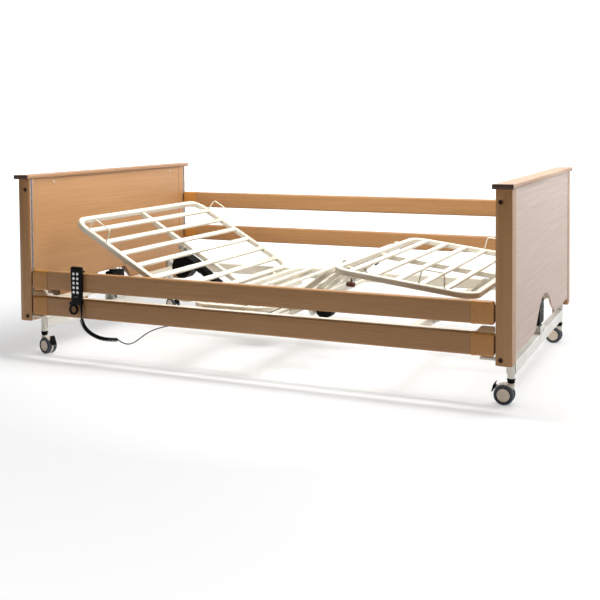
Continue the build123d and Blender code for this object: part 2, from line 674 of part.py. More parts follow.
def back_rod(reach):
    """Spindle rod, cranked up to the axis at its eye."""
    body = rod((160, 0, -18), (reach - 26, 0, -18), 9.0)
    body += block((reach - 44, reach - 4), (-6, 6), (-26, 6))
    body += cross_pin(reach, 0, -9, 9, 13)
    pin = cross_pin(reach, 0, -26, 26, PIN_R)
    for sign in (-1, 1):
        pin += cross_pin(reach, 0, sign * 19, sign * 22, 12)
    return [body - cross_pin(reach, 0, -10, 10, PIN_R), pin]


def leg_motor():
    """Motor, gear case and spindle tube of the knee actuator."""
    drum = rod((24, 0, -4), (132, 0, -4), 34)
    drum = fillet(drum.edges().filter_by(GeomType.CIRCLE), 7)
    tube = rod((130, 0, 0), (226, 0, 0), 17)
    tongue = block((-11, 30), (-12.5, 12.5), (-11, 11))
    gear = fillet(cross_pin(62, -22, -36, 36, 42).edges().filter_by(GeomType.CIRCLE), 7)
    body = drum + gear + tube + tongue - cross_pin(0, 0, -20, 20, PIN_BORE)
    body -= rod((44, 0, 0), (227, 0, 0), 9.5)
    pin = cross_pin(0, 0, -19, 19, PIN_R)
    return [body, pin]


def leg_rod(reach):
    body = rod((96, 0, 0), (reach - 9, 0, 0), 9.0)
    body += cross_pin(reach, 0, -11, 11, 14)
    return body - cross_pin(reach, 0, -12, 12, 8.6)


def stay(reach):
    """Calf stay: a tube with a slotted head that the calf section's pin slides in."""
    solids = []
    for y in (-STAY_Y, STAY_Y):
        body = cross_pin(0, 0, y - 3.5, y + 3.5, 10)
        body += block((4, 34), (y - 3.5, y + 3.5), (-8, 8))
        body += rod((27, y, 0), (reach - 30, y, 0), 7.5)
        head = block((reach - 44, reach + 46), (y - 3, y + 3), (-16, 16))
        head = fillet(head.edges().filter_by(Axis.Y), 8)
        slot = block((reach - 12, reach + 31), (y - 9, y + 9), (-8.5, 8.5))
        slot = fillet(slot.edges().filter_by(Axis.Y), 8)
        body = (body + head - slot) - cross_pin(0, 0, y - 9, y + 9, PIN_BORE)
        solids += [body, cross_pin(0, 0, y - 10, y + 10, PIN_R)]
    return solids


def world(place, s, t):
    spot = (place * Pos(s, 0, t)).position
    return (spot.X, spot.Z)


back_pivot = world(back_place, *BACK_PIVOT)
leg_pivot = world(thigh_place, *LEG_LEVER)
stay_pivot = world(calf_place, *STAY_PIVOT)
back_axis = axis_place(back_pivot, BACK_ANCHOR)
back_reach = hypot(BACK_ANCHOR[0] - back_pivot[0], BACK_ANCHOR[1] - back_pivot[1])
leg_axis = axis_place(LEG_ANCHOR, leg_pivot)
leg_reach = hypot(leg_pivot[0] - LEG_ANCHOR[0], leg_pivot[1] - LEG_ANCHOR[1])
stay_axis = axis_place(STAY_ANCHOR, stay_pivot)
stay_reach = hypot(stay_pivot[0] - STAY_ANCHOR[0], stay_pivot[1] - STAY_ANCHOR[1])
save("back_motor", [back_axis * item for item in back_motor()])
save("back_rod", [back_axis * item for item in back_rod(back_reach)])
save("leg_motor", [leg_axis * item for item in leg_motor()])
save("leg_rod", leg_axis * leg_rod(leg_reach))
save("calf_stays", [stay_axis * item for item in stay(stay_reach)])


# ================================================================ side rails
def bar(side, bottom):
    """Wooden bar with a plastic cap and sliding tongue at each end."""
    y = sorted((side * BAR_Y[0], side * BAR_Y[1]))
    wood_end = BAR_END - CAP_LENGTH
    wood = block((-wood_end, wood_end), y, (bottom, bottom + BAR_HEIGHT))
    wood = fillet(wood.edges().filter_by(Axis.X), 6)
    solids = [wood]
    for end in (-1, 1):
        x = sorted((end * wood_end, end * BAR_END))
        wide = (y[0] - CAP_PROUD, y[1] + CAP_PROUD)
        cap = block(x, wide, (bottom - CAP_PROUD, bottom + BAR_HEIGHT + CAP_PROUD))
        cap = fillet(cap.edges().filter_by(Axis.X), 6)
        middle = side * TRACK_Y
        tongue = sorted((end * (BAR_END - 4), end * (POST_IN + 10)))
        cap += block(tongue, (middle - TONGUE / 2, middle + TONGUE / 2), (bottom + 12, bottom + 72))
        solids.append(cap)
    return solids


save("near_top_bar", bar(-1, NEAR_TOP_BAR))
save("near_low_bar", bar(-1, NEAR_LOW_BAR))
save("far_top_bar", bar(1, FAR_TOP_BAR))
save("far_low_bar", bar(1, FAR_LOW_BAR))


# ================================================================ control box, handset and cord
BOX_X = (-272.0, -112.0)
BOX_Y = (-92.0, 78.0)
BOX_Z = (168.0, 214.0)


def control_box():
    body = block(BOX_X, BOX_Y, BOX_Z)
    body = fillet(body.edges().filter_by(Axis.Z), 10)
    body = fillet(body.edges().group_by(Axis.Z)[0], 4)
    for y in (-60.0, 46.0):
        body += block((BACK_CROSS_X[1], BOX_X[0] + 4), (y - 10, y + 10), (196.0, 210.0))
    return body


def handset():
    body = block(HANDSET_X, HANDSET_Y, HANDSET_Z)
    body = fillet(body.edges().filter_by(Axis.Y), 9)
    body = fillet(body.edges().group_by(Axis.Y)[0], 4)
    for x, z in button_spots():
        body -= rod((x, HANDSET_Y[0] - 1, z), (x, HANDSET_Y[0] + 7.0, z), BUTTON_R + 0.35)
    return body


def button_spots():
    centre = (HANDSET_X[0] + HANDSET_X[1]) / 2
    spots = []
    for row in range(5):
        for column in (-0.5, 0.5):
            spots.append((centre + column * BUTTON_PITCH, BUTTON_TOP_Z - row * BUTTON_PITCH))
    return spots


def handset_hook():
    """Strap that hangs the handset over the bar."""
    top = NEAR_TOP_BAR + BAR_HEIGHT + 2.5
    x = (-792.0, -770.0)
    strap = block(x, (HANDSET_Y[1], -632.5), (top, top + 4))
    strap += block(x, (-635.5, -632.5), (top - 34, top + 4))
    strap += block(x, (HANDSET_Y[1], HANDSET_Y[1] + 0.7), (top - 20, top + 4))
    return strap


save("control_box", control_box())
save("handset_shell", handset(), handset_hook())
for index, (x, z) in enumerate(button_spots()):
    button = rod((x, HANDSET_Y[0] - BUTTON_PROUD, z), (x, HANDSET_Y[0] + 5.0, z), BUTTON_R)
    save(f"button_{index + 1:02d}", fillet(button.edges().group_by(Axis.Y)[0], 0.5))

# Route of the handset's cord: straight lead, curly part, then the thin lead to the control box.
LEAD = [(-758, -678, 264), (-758, -678, 236), (-759, -679, 207)]
CURL = [(-759, -679, 207), (-755, -676, 178), (-733, -665, 146), (-700, -647, 122),
        (-664, -622, 109), (-632, -590, 105)]
TAIL = [(-632, -590, 105), (-618, -566, 84), (-612, -528, 74), (-612, -484, 77),
        (-613, -436, 87), (-613, -386, 97), (-604, -333, 104), (-578, -285, 109), (-536, -252, 113),
        (-484, -236, 117), (-430, -226, 122), (-376, -220, 130), (-322, -214, 142),
        (-270, -204, 156), (-226, -182, 170), (-198, -146, 182), (-192, -118, 189),
        (-192, -92, 189)]


def tube_along(points, radius):
    """Round cord of straight runs joined by the largest tangent arcs that the runs allow."""
    spots = [Vector(*p) for p in points]
    radii = []
    for a, b, c in zip(spots, spots[1:], spots[2:]):
        turn = radians((b - a).get_angle(c - b))
        radii.append(0.45 * min((b - a).length, (c - b).length) / tan(turn / 2))
    path = FilletPolyline(*points, radius=radii) if radii else Polyline(*points)
    solid = sweep(Plane(origin=path @ 0, z_dir=path % 0) * Circle(radius), path)
    full = pi * radius ** 2 * path.length
    print("cord length", round(path.length), "volume ratio", round(solid.volume / full, 4),
          "least radius", round(min(radii), 1))
    return solid


save("handset_lead", tube_along(LEAD, CORD_R))
save("handset_curl", tube_along(CURL, CURL_R))
save("handset_tail", tube_along(TAIL, CORD_R))
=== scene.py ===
"""Looks of an adjustable hospital bed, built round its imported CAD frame. Metres, +Z up, head end at -X."""
import json
from math import atan2, cos, pi, radians, sin

import bmesh
import bpy
from mathutils import Matrix, Vector


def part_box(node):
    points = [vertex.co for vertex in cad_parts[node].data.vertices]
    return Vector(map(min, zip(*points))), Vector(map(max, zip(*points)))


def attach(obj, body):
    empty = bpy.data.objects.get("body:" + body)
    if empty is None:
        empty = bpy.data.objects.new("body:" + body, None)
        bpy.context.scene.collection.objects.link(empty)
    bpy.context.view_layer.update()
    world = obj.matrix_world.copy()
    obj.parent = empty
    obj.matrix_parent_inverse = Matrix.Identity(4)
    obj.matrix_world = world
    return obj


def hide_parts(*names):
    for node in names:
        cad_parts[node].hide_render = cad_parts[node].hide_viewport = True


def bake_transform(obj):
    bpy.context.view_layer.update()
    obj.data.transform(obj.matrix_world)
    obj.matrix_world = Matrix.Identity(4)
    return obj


MM = 0.001

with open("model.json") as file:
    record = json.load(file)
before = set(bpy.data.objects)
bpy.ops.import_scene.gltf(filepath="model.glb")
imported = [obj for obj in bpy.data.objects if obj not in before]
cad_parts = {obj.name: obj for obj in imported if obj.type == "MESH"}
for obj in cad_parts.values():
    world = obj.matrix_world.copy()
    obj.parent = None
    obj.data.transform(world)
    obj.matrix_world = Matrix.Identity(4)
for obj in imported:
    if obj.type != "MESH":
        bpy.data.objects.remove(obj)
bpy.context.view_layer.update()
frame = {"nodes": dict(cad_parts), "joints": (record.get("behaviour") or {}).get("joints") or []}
nodes = frame["nodes"]
joints = {joint["name"]: joint for joint in frame["joints"]}


# ================================================================ camera
# Lens and pose as fitted to landmarks of the photograph.
LENS_MM = 57.46
SENSOR_MM = 36.0
SHIFT_Y = -0.225
CAMERA_PLACE = (1.79865, -4.0451, 1.04163)
CAMERA_TURN = 0.42246
CAMERA_TILT = -0.04286
CAMERA_ROLL = -0.0076


def make_camera():
    data = bpy.data.cameras.new("camera")
    data.lens = LENS_MM
    data.sensor_width = SENSOR_MM
    data.shift_y = SHIFT_Y
    data.clip_start = 0.1
    data.clip_end = 100.0
    camera = bpy.data.objects.new("camera", data)
    bpy.context.scene.collection.objects.link(camera)
    turn = Matrix.Rotation(CAMERA_TURN, 4, "Z")
    tilt = Matrix.Rotation(pi / 2 + CAMERA_TILT, 4, "X")
    roll = Matrix.Rotation(CAMERA_ROLL, 4, "Z")
    camera.matrix_world = Matrix.Translation(CAMERA_PLACE) @ turn @ tilt @ roll
    bpy.context.scene.camera = camera


make_camera()


# ================================================================ materials
def srgb(red, green, blue):
    """Linear colour of a screen colour given in 0 to 255."""
    linear = []
    for value in (red, green, blue):
        share = value / 255
        linear.append(share / 12.92 if share <= 0.04045 else ((share + 0.055) / 1.055) ** 2.4)
    return (*linear, 1.0)


class Surface:
    """A Principled material with short calls for its texture nodes."""

    def __init__(self, name, roughness, metallic=0.0, coat=0.0, specular=0.5):
        self.material = bpy.data.materials.new(name)
        self.material.use_nodes = True
        self.tree = self.material.node_tree
        self.shader = self.tree.nodes["Principled BSDF"]
        self.shader.inputs["Roughness"].default_value = roughness
        self.shader.inputs["Metallic"].default_value = metallic
        self.shader.inputs["Coat Weight"].default_value = coat
        self.shader.inputs["Coat Roughness"].default_value = 0.25
        self.shader.inputs["Specular IOR Level"].default_value = specular
        self.place = self.tree.nodes.new("ShaderNodeTexCoord").outputs["Object"]

    def scaled(self, scale):
        mapping = self.tree.nodes.new("ShaderNodeMapping")
        mapping.inputs["Scale"].default_value = scale
        self.tree.links.new(self.place, mapping.inputs["Vector"])
        return mapping.outputs["Vector"]

    def noise(self, scale, detail=2.0, roughness=0.5, distortion=0.0):
        """Noise with one scale, or one for each axis."""
        size = (scale,) * 3 if isinstance(scale, (int, float)) else scale
        node = self.tree.nodes.new("ShaderNodeTexNoise")
        node.inputs["Scale"].default_value = 1.0
        node.inputs["Detail"].default_value = detail
        node.inputs["Roughness"].default_value = roughness
        node.inputs["Distortion"].default_value = distortion
        self.tree.links.new(self.scaled(size), node.inputs["Vector"])
        return node.outputs["Fac"]

    def cells(self, scale):
        node = self.tree.nodes.new("ShaderNodeTexVoronoi")
        node.inputs["Scale"].default_value = scale
        self.tree.links.new(self.place, node.inputs["Vector"])
        return node.outputs["Color"]

    def spread(self, value, low, high, start, stop):
        """Maps value from low..high to start..stop."""
        node = self.tree.nodes.new("ShaderNodeMapRange")
        for name, number in (("From Min", low), ("From Max", high), ("To Min", start), ("To Max", stop)):
            node.inputs[name].default_value = number
        self.tree.links.new(value, node.inputs["Value"])
        return node.outputs["Result"]

    def math(self, operation, first, second):
        node = self.tree.nodes.new("ShaderNodeMath")
        node.operation = operation
        for socket, value in zip(node.inputs, (first, second)):
            if isinstance(value, (int, float)):
                socket.default_value = value
            else:
                self.tree.links.new(value, socket)
        return node.outputs["Value"]

    def axis(self, letter):
        node = self.tree.nodes.new("ShaderNodeSeparateXYZ")
        self.tree.links.new(self.place, node.inputs["Vector"])
        return node.outputs[letter]

    def mix(self, share, first, second):
        node = self.tree.nodes.new("ShaderNodeMix")
        node.data_type = "RGBA"
        self.tree.links.new(share, node.inputs[0])
        for socket, value in ((node.inputs[6], first), (node.inputs[7], second)):
            if isinstance(value, tuple):
                socket.default_value = value
            else:
                self.tree.links.new(value, socket)
        return node.outputs[2]

    def colour(self, value):
        self.tree.links.new(value, self.shader.inputs["Base Color"])

    def rough(self, value):
        self.tree.links.new(value, self.shader.inputs["Roughness"])

    def bump(self, height, strength, distance):
        node = self.tree.nodes.new("ShaderNodeBump")
        node.inputs["Strength"].default_value = strength
        node.inputs["Distance"].default_value = distance
        self.tree.links.new(height, node.inputs["Height"])
        self.tree.links.new(node.outputs["Normal"], self.shader.inputs["Normal"])


BOARD_FACE_X = (1.0835, 1.0845)


def wood(name, light, dark, along, outer_sheen_tone=None):
    """Beech laminate with its grain along one axis. Beyond BOARD_FACE_X, on the outer board faces, a paler
    tone is painted in as a sheen of grazing light.
    """
    made = Surface(name, 0.45, coat=0.06, specular=0.35)

    def stretched(across, lengthwise):
        return tuple(lengthwise if axis == along else across for axis in range(3))

    slow = made.noise(stretched(11.0, 0.9), 3.0, 0.6, 0.3)
    streaks = made.noise(stretched(120.0, 2.2), 4.0, 0.65, 0.2)
    fibres = made.noise(stretched(620.0, 14.0), 2.0)
    flecks = made.spread(made.noise(stretched(900.0, 90.0), 1.0), 0.62, 0.72, 0.0, 0.5)
    tone = made.math("ADD", made.spread(slow, 0.3, 0.7, 0.0, 0.45),
                     made.spread(streaks, 0.3, 0.75, 0.0, 0.55))
    base = made.mix(tone, light, dark)
    # Painted sheen: the outer board faces get a paler tone that stands in for grazing light.
    if outer_sheen_tone is not None:
        beyond = made.spread(made.math("ABSOLUTE", made.axis("X"), 0.0), *BOARD_FACE_X, 0.0, 1.0)
        outer_sheen_dark = tuple(channel * 0.86 for channel in outer_sheen_tone[:3]) + (1.0,)
        base = made.mix(beyond, base, made.mix(tone, outer_sheen_tone, outer_sheen_dark))
    shade = tuple(channel * 0.55 for channel in dark[:3]) + (1.0,)
    made.colour(made.mix(flecks, base, shade))
    made.rough(made.spread(streaks, 0.3, 0.7, 0.36, 0.54))
    made.bump(made.math("ADD", fibres, made.math("MULTIPLY", streaks, 0.6)), 0.25, 0.00025)
    return made.material


def paint(name, colour, shadow, roughness=0.36):
    """Powder coat: fine orange peel and a slight drift of tone."""
    made = Surface(name, roughness, coat=0.25)
    drift = made.spread(made.noise(7.0, 3.0), 0.35, 0.7, 0.0, 1.0)
    made.colour(made.mix(drift, colour, shadow))
    made.rough(made.spread(made.noise(60.0, 3.0), 0.3, 0.7, roughness - 0.06, roughness + 0.1))
    made.bump(made.noise(850.0, 2.0), 0.22, 0.00012)
    return made.material


def plastic(name, colour, dusty, roughness, grain=1500.0, strength=0.35, coat=0.0, specular=0.5):
    """Moulded plastic with a fine eroded grain and a little dust in its tone."""
    made = Surface(name, roughness, coat=coat, specular=specular)
    dust = made.spread(made.noise(38.0, 5.0, 0.65), 0.45, 0.8, 0.0, 1.0)
    made.colour(made.mix(dust, colour, dusty))
    made.rough(made.spread(made.noise(90.0, 3.0), 0.3, 0.7, roughness - 0.07, roughness + 0.09))
    made.bump(made.noise(grain, 2.0), strength, 0.00008)
    return made.material


SPANGLE_CELLS = 170.0


def metal(name, colour, dark, roughness, lines=None):
    """Spangled zinc, or brushed metal whose scratches run along the axis numbered lines."""
    made = Surface(name, roughness, metallic=1.0)
    cloud = made.spread(made.noise(45.0, 4.0, 0.6), 0.35, 0.7, 0.0, 1.0)
    made.colour(made.mix(cloud, colour, dark))
    if lines is None:
        spangle = made.math("ADD", made.cells(SPANGLE_CELLS), 0.0)
        made.rough(made.spread(spangle, 0.0, 1.0, roughness - 0.08, roughness + 0.12))
        made.bump(made.noise(600.0, 3.0), 0.15, 0.0001)
        return made.material
    size = tuple(5.0 if axis == lines else 1500.0 for axis in range(3))
    scratches = made.noise(size, 3.0)
    made.rough(made.spread(scratches, 0.3, 0.7, roughness - 0.08, roughness + 0.12))
    made.bump(scratches, 0.2, 0.0001)
    return made.material


LIGHT_BEECH = srgb(174, 131, 87)
DARK_BEECH = srgb(150, 107, 65)
BEECH_X = wood("beech_lengthwise", LIGHT_BEECH, DARK_BEECH, 0)
# The paler tone given here is a painted sheen on the outer faces of the boards.
BEECH_Y = wood("beech_crosswise", LIGHT_BEECH, DARK_BEECH, 1, outer_sheen_tone=srgb(190, 165, 149))
BEECH_Z = wood("beech_upright", LIGHT_BEECH, DARK_BEECH, 2)
# Painted shade: the top rails take a darker copy of the beech to hold down the key light on their tops.
RAIL_BEECH_SHADED = wood("beech_top_rail", srgb(164, 124, 90), srgb(142, 104, 72), 1)
CREAM = paint("cream_paint", srgb(214, 207, 190), srgb(202, 194, 176))
GREY_PAINT = paint("pale_grey_paint", srgb(226, 224, 216), srgb(208, 205, 196))
WIRE = paint("hoop_paint", srgb(228, 222, 206), srgb(200, 192, 174), 0.3)
CAP = plastic("brown_cap_plastic", srgb(178, 122, 56), srgb(166, 112, 50), 0.36, coat=0.08)
LATCH = plastic("dark_brown_plastic", srgb(172, 134, 92), srgb(158, 120, 82), 0.4)
RAIL_CAP = plastic("rail_end_plastic", srgb(66, 38, 24), srgb(84, 54, 38), 0.4)
PLUG = plastic("plug_plastic", srgb(44, 14, 10), srgb(54, 20, 14), 0.45, specular=0.15)
BLACK = plastic("black_plastic", srgb(7, 7, 8), srgb(13, 13, 14), 0.5, specular=0.08)
DEEP_BLACK = plastic("dark_slot_plastic", srgb(12, 12, 13), srgb(20, 20, 20), 0.6)
HANDSET = plastic("handset_plastic", srgb(6, 6, 7), srgb(11, 11, 12), 0.42, specular=0.12)
WHITE_KEY = plastic("button_plastic", srgb(240, 242, 244), srgb(222, 226, 230), 0.25, coat=0.3, strength=0.1)
CORD_RUBBER = plastic("cord_rubber", srgb(8, 8, 9), srgb(15, 15, 16), 0.55, grain=900.0, specular=0.12)
TYRE = plastic("tyre_rubber", srgb(60, 66, 74), srgb(84, 88, 94), 0.62, grain=700.0, strength=0.5)
RIM = plastic("rim_plastic", srgb(28, 29, 32), srgb(44, 45, 48), 0.5)
HUB = plastic("hub_plastic", srgb(220, 205, 186), srgb(204, 189, 170), 0.42)
HOOD = plastic("hood_plastic", srgb(222, 214, 202), srgb(204, 195, 182), 0.4)
BUFFER = plastic("buffer_rubber", srgb(84, 34, 28), srgb(104, 52, 42), 0.6, grain=800.0)
ZINC = metal("zinc_plate", srgb(206, 206, 200), srgb(168, 168, 164), 0.32)
ALUMINIUM = metal("anodised_aluminium", srgb(222, 218, 218), srgb(196, 192, 194), 0.34, lines=2)


def dress(material, *names):
    for name in names:
        slots = nodes[name].data.materials
        slots.clear()
        slots.append(material)


def soften(width, *names):
    """Breaks the sharp edges of CAD nodes a little, as on real boards and bars."""
    for name in names:
        piece = nodes[name]
        weld = piece.modifiers.new("weld", "WELD")
        weld.merge_threshold = 0.00002
        bevel = piece.modifiers.new("edges", "BEVEL")
        bevel.width = width
        bevel.segments = 2
        bevel.limit_method = "ANGLE"
        bevel.angle_limit = radians(38)


ENDS = ((-1, "head"), (1, "foot"))
CASTER_NAMES = ("head_near", "head_far", "foot_near", "foot_far")
BUTTON_NAMES = [f"button_{number:02d}" for number in range(1, 11)]
dress(BEECH_Z, "end_posts")
dress(BEECH_Y, "head_panels", "foot_panels")
dress(RAIL_BEECH_SHADED, "end_top_rails")
dress(CREAM, "main_frame", "seat_section", "back_section", "thigh_section", "calf_section")
dress(GREY_PAINT, "head_leg_frame", "foot_leg_frame", "lift_columns")
dress(WIRE, "back_retainers", "calf_retainers")
dress(ALUMINIUM, "rail_tracks")
dress(ZINC, "section_hinge_pins", "thigh_pins", "lift_rods", "back_rod", "leg_rod", "calf_stays")
dress(BLACK, "control_box")
dress(PLUG, "post_plugs")
dress(BUFFER, "calf_buffer")
dress(WHITE_KEY, *BUTTON_NAMES)
soften(0.0012, "end_posts", "head_panels", "foot_panels")


# ================================================================ mesh tools
def add_piece(name, mesh, material, body, replaced=(), sharp=35.0):
    """Links a mesh as a piece that rides on a body and takes a material slot's finish."""
    mesh.materials.append(material)
    mesh.shade_smooth()
    mesh.set_sharp_from_angle(angle=radians(sharp))
    piece = bpy.data.objects.new(name, mesh)
    bpy.context.scene.collection.objects.link(piece)
    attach(piece, body)
    if replaced:
        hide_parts(*replaced)
    return piece


def mesh_of(name, shape, place=Matrix.Identity(4)):
    bmesh.ops.recalc_face_normals(shape, faces=shape.faces)
    shape.transform(place)
    mesh = bpy.data.meshes.new(name)
    shape.to_mesh(mesh)
    shape.free()
    return mesh


def rounded_box(name, low, high, radius, place=Matrix.Identity(4), segments=4):
    """Box from low to high with rolled edges."""
    shape = bmesh.new()
    low, high = Vector(low), Vector(high)
    size = high - low
    bmesh.ops.create_cube(shape, size=1.0)
    for corner in shape.verts:
        corner.co = Vector(((low[i] + high[i]) / 2 + corner.co[i] * size[i]) for i in range(3))
    bmesh.ops.bevel(shape, geom=shape.edges[:], offset=radius, segments=segments, profile=0.5, affect="EDGES")
    return mesh_of(name, shape, place)


def lathe(name, profile, place, steps=72):
    """Turned piece about local Z: profile is (height, radius) pairs."""
    shape = bmesh.new()
    rings = []
    for height, radius in profile:
        if radius < 1e-6:
            rings.append([shape.verts.new((0, 0, height))])
            continue
        angles = [2 * pi * step / steps for step in range(steps)]
        rings.append([shape.verts.new((radius * cos(a), radius * sin(a), height)) for a in angles])
    for lower, upper in zip(rings, rings[1:]):
        for step in range(steps):
            after = (step + 1) % steps
            corners = []
            for ring, index in ((lower, step), (lower, after), (upper, after), (upper, step)):
                vertex = ring[0] if len(ring) == 1 else ring[index]
                if vertex not in corners:
                    corners.append(vertex)
            if len(corners) > 2:
                shape.faces.new(corners)
    return mesh_of(name, shape, place)


def slab(name, outline, low, high, place, bevel=0.0, segments=2):
    """Outline in local X and Z, drawn out along Y from low to high, with rolled rims."""
    shape = bmesh.new()
    front = [shape.verts.new((x, low, z)) for x, z in outline]
    back = [shape.verts.new((x, high, z)) for x, z in outline]
    caps = [shape.faces.new(front), shape.faces.new(back[::-1])]
    count = len(outline)
    for index in range(count):
        after = (index + 1) % count
        shape.faces.new([front[index], back[index], back[after], front[after]])
    if bevel > 0:
        rims = {edge for cap in caps for edge in cap.edges}
        bmesh.ops.bevel(shape, geom=list(rims), offset=bevel, segments=segments, profile=0.5, affect="EDGES")
    return mesh_of(name, shape, place)


def round_corners(corners, radius, steps=5):
    """Polygon with each corner turned into an arc of about radius."""
    outline = []
    count = len(corners)
    for index, corner in enumerate(corners):
        here = Vector(corner)
        before = Vector(corners[index - 1]) - here
        after = Vector(corners[(index + 1) % count]) - here
        reach = min(radius, 0.45 * before.length, 0.45 * after.length)
        start = here + before.normalized() * reach
        stop = here + after.normalized() * reach
        for step in range(steps + 1):
            t = step / steps
            point = start * (1 - t) ** 2 + here * 2 * t * (1 - t) + stop * t ** 2
            outline.append((point.x, point.y))
    return outline


def arc(centre, radius, start, stop, steps):
    """Points of an arc in the local X and Z plane, angles in degrees."""
    points = []
    for step in range(steps + 1):
        angle = radians(start + (stop - start) * step / steps)
        points.append((centre[0] + radius * cos(angle), centre[1] + radius * sin(angle)))
    return points


CURVE_ORDER = 3


def curve_points(points, resolution=8):
    """The points that a smooth open curve through these control points passes."""
    data = open_curve("route", points, resolution)
    route = bpy.data.objects.new("route", data)
    bpy.context.scene.collection.objects.link(route)
    mesh = bpy.data.meshes.new_from_object(route)
    found = [vertex.co.copy() for vertex in mesh.vertices]
    bpy.data.objects.remove(route)
    return found


def open_curve(name, points, resolution):
    """Smooth open curve that starts and ends at its first and last control points."""
    data = bpy.data.curves.new(name, "CURVE")
    data.dimensions = "3D"
    data.resolution_u = resolution
    spline = data.splines.new("NURBS")
    spline.points.add(len(points) - 1)
    for target, point in zip(spline.points, points):
        target.co = (*point, 1.0)
    spline.order_u = CURVE_ORDER
    spline.use_endpoint_u = True
    return data


def rod_mesh(name, points, radius, resolution=8, sides=4):
    """Round wire or tube along a smooth curve, as a mesh with closed ends."""
    data = open_curve(name, points, resolution)
    data.bevel_depth = radius
    data.bevel_resolution = sides
    data.use_fill_caps = True
    wire = bpy.data.objects.new(name, data)
    bpy.context.scene.collection.objects.link(wire)
    mesh = bpy.data.meshes.new_from_object(wire)
    bpy.data.objects.remove(wire)
    return mesh


def facing(spot, direction):
    """Frame at spot whose Z points along direction."""
    turn = Vector(direction).to_track_quat("Z", "Y").to_matrix().to_4x4()
    return Matrix.Translation(spot) @ turn


# ================================================================ handset cord
LEAD = [(-758, -678, 264), (-758, -678, 236), (-759, -679, 207)]
CURL = [(-759, -679, 207), (-755, -676, 178), (-733, -665, 146), (-700, -647, 122),
        (-664, -622, 109), (-632, -590, 105)]
TAIL = [(-632, -590, 105), (-618, -566, 84), (-612, -528, 74), (-612, -484, 77),
        (-613, -436, 87), (-613, -386, 97), (-604, -333, 104), (-578, -285, 109), (-536, -252, 113),
        (-484, -236, 117), (-430, -226, 122), (-376, -220, 130), (-322, -214, 142),
        (-270, -204, 156), (-226, -182, 170), (-198, -146, 182), (-192, -118, 189),
        (-192, -92, 189)]
CORD_DIAMETER = 0.005
CURL_RADIUS = 0.0070
CURL_TURNS = 35
POINTS_PER_TURN = 12


def metres(points):
    return [Vector(point) * MM for point in points]


def curly_points():
    """Helix of the curly part round its hanging line, easing in and out over one turn."""
    line = curve_points(metres(CURL))
    lengths = [0.0]
    for before, after in zip(line, line[1:]):
        lengths.append(lengths[-1] + (after - before).length)
    total = lengths[-1]
    count = CURL_TURNS * POINTS_PER_TURN
    side = Vector((1, 0, 0))
    helix = []
    piece = 0
    for index in range(count + 1):
        along = total * index / count
        while piece < len(line) - 2 and lengths[piece + 1] < along:
            piece += 1
        share = (along - lengths[piece]) / (lengths[piece + 1] - lengths[piece])
        centre = line[piece].lerp(line[piece + 1], share)
        forward = (line[piece + 1] - line[piece]).normalized()
        side = (side - forward * side.dot(forward)).normalized()
        other = forward.cross(side)
        ease = min(1.0, index / POINTS_PER_TURN, (count - index) / POINTS_PER_TURN)
        angle = 2 * pi * index / POINTS_PER_TURN
        helix.append(centre + (side * cos(angle) + other * sin(angle)) * CURL_RADIUS * ease)
    return helix


def make_cord():
    route = metres(LEAD)[:-1] + curly_points() + metres(TAIL)[1:]
    mesh = rod_mesh("handset_cord", route, CORD_DIAMETER / 2, resolution=4, sides=3)
    mesh.materials.append(CORD_RUBBER)
    mesh.shade_smooth()
    piece = bpy.data.objects.new("handset_cord", mesh)
    bpy.context.scene.collection.objects.link(piece)
    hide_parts("handset_lead", "handset_curl", "handset_tail")
    path = [tuple(point) for point in curve_points(route, resolution=4)]
    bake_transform(piece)


make_cord()


# ================================================================ side rails
PROUD = 1.0 * MM
CAP_LENGTH = 78.0 * MM
CAP_END = 1.035
WOOD_END = CAP_END - CAP_LENGTH
SLIDER_END = 1.0495
WOOD_ROUND = 0.0085
CAP_ROUND = 0.0095
LIP_PROUD = 0.0006


def side_bar(node, body):
    """Wooden bar, and at each end a moulded cap with its lip and the black slider in the track."""
    low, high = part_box(node)
    wood_low = (-WOOD_END - 0.002, low.y + PROUD, low.z + PROUD)
    wood_high = (WOOD_END + 0.002, high.y - PROUD, high.z - PROUD)
    add_piece(f"{node}_wood", rounded_box(node, wood_low, wood_high, WOOD_ROUND, segments=6), BEECH_X,
              body, (node,))
    middle = (low.y + high.y) / 2
    for side, word in ENDS:
        inner, outer = sorted((side * WOOD_END, side * CAP_END))
        mesh = rounded_box("cap", (inner, low.y, low.z), (outer, high.y, high.z), CAP_ROUND, segments=6)
        add_piece(f"{node}_{word}_cap", mesh, CAP, body)
        lip = sorted((side * (WOOD_END - 0.0012), side * (WOOD_END + 0.0035)))
        mesh = rounded_box("lip", (lip[0], low.y - LIP_PROUD, low.z - LIP_PROUD),
                           (lip[1], high.y + LIP_PROUD, high.z + LIP_PROUD), CAP_ROUND, segments=6)
        add_piece(f"{node}_{word}_cap_lip", mesh, CAP, body)
        slide = sorted((side * (CAP_END - 0.006), side * SLIDER_END))
        mesh = rounded_box("slider", (slide[0], middle - 0.0055, low.z + 0.013),
                           (slide[1], middle + 0.0055, high.z - 0.013), 0.0015)
        add_piece(f"{node}_{word}_slider", mesh, DEEP_BLACK, body)


for rail_name in ("near_top", "near_low", "far_top", "far_low"):
    side_bar(f"{rail_name}_bar", rail_name)


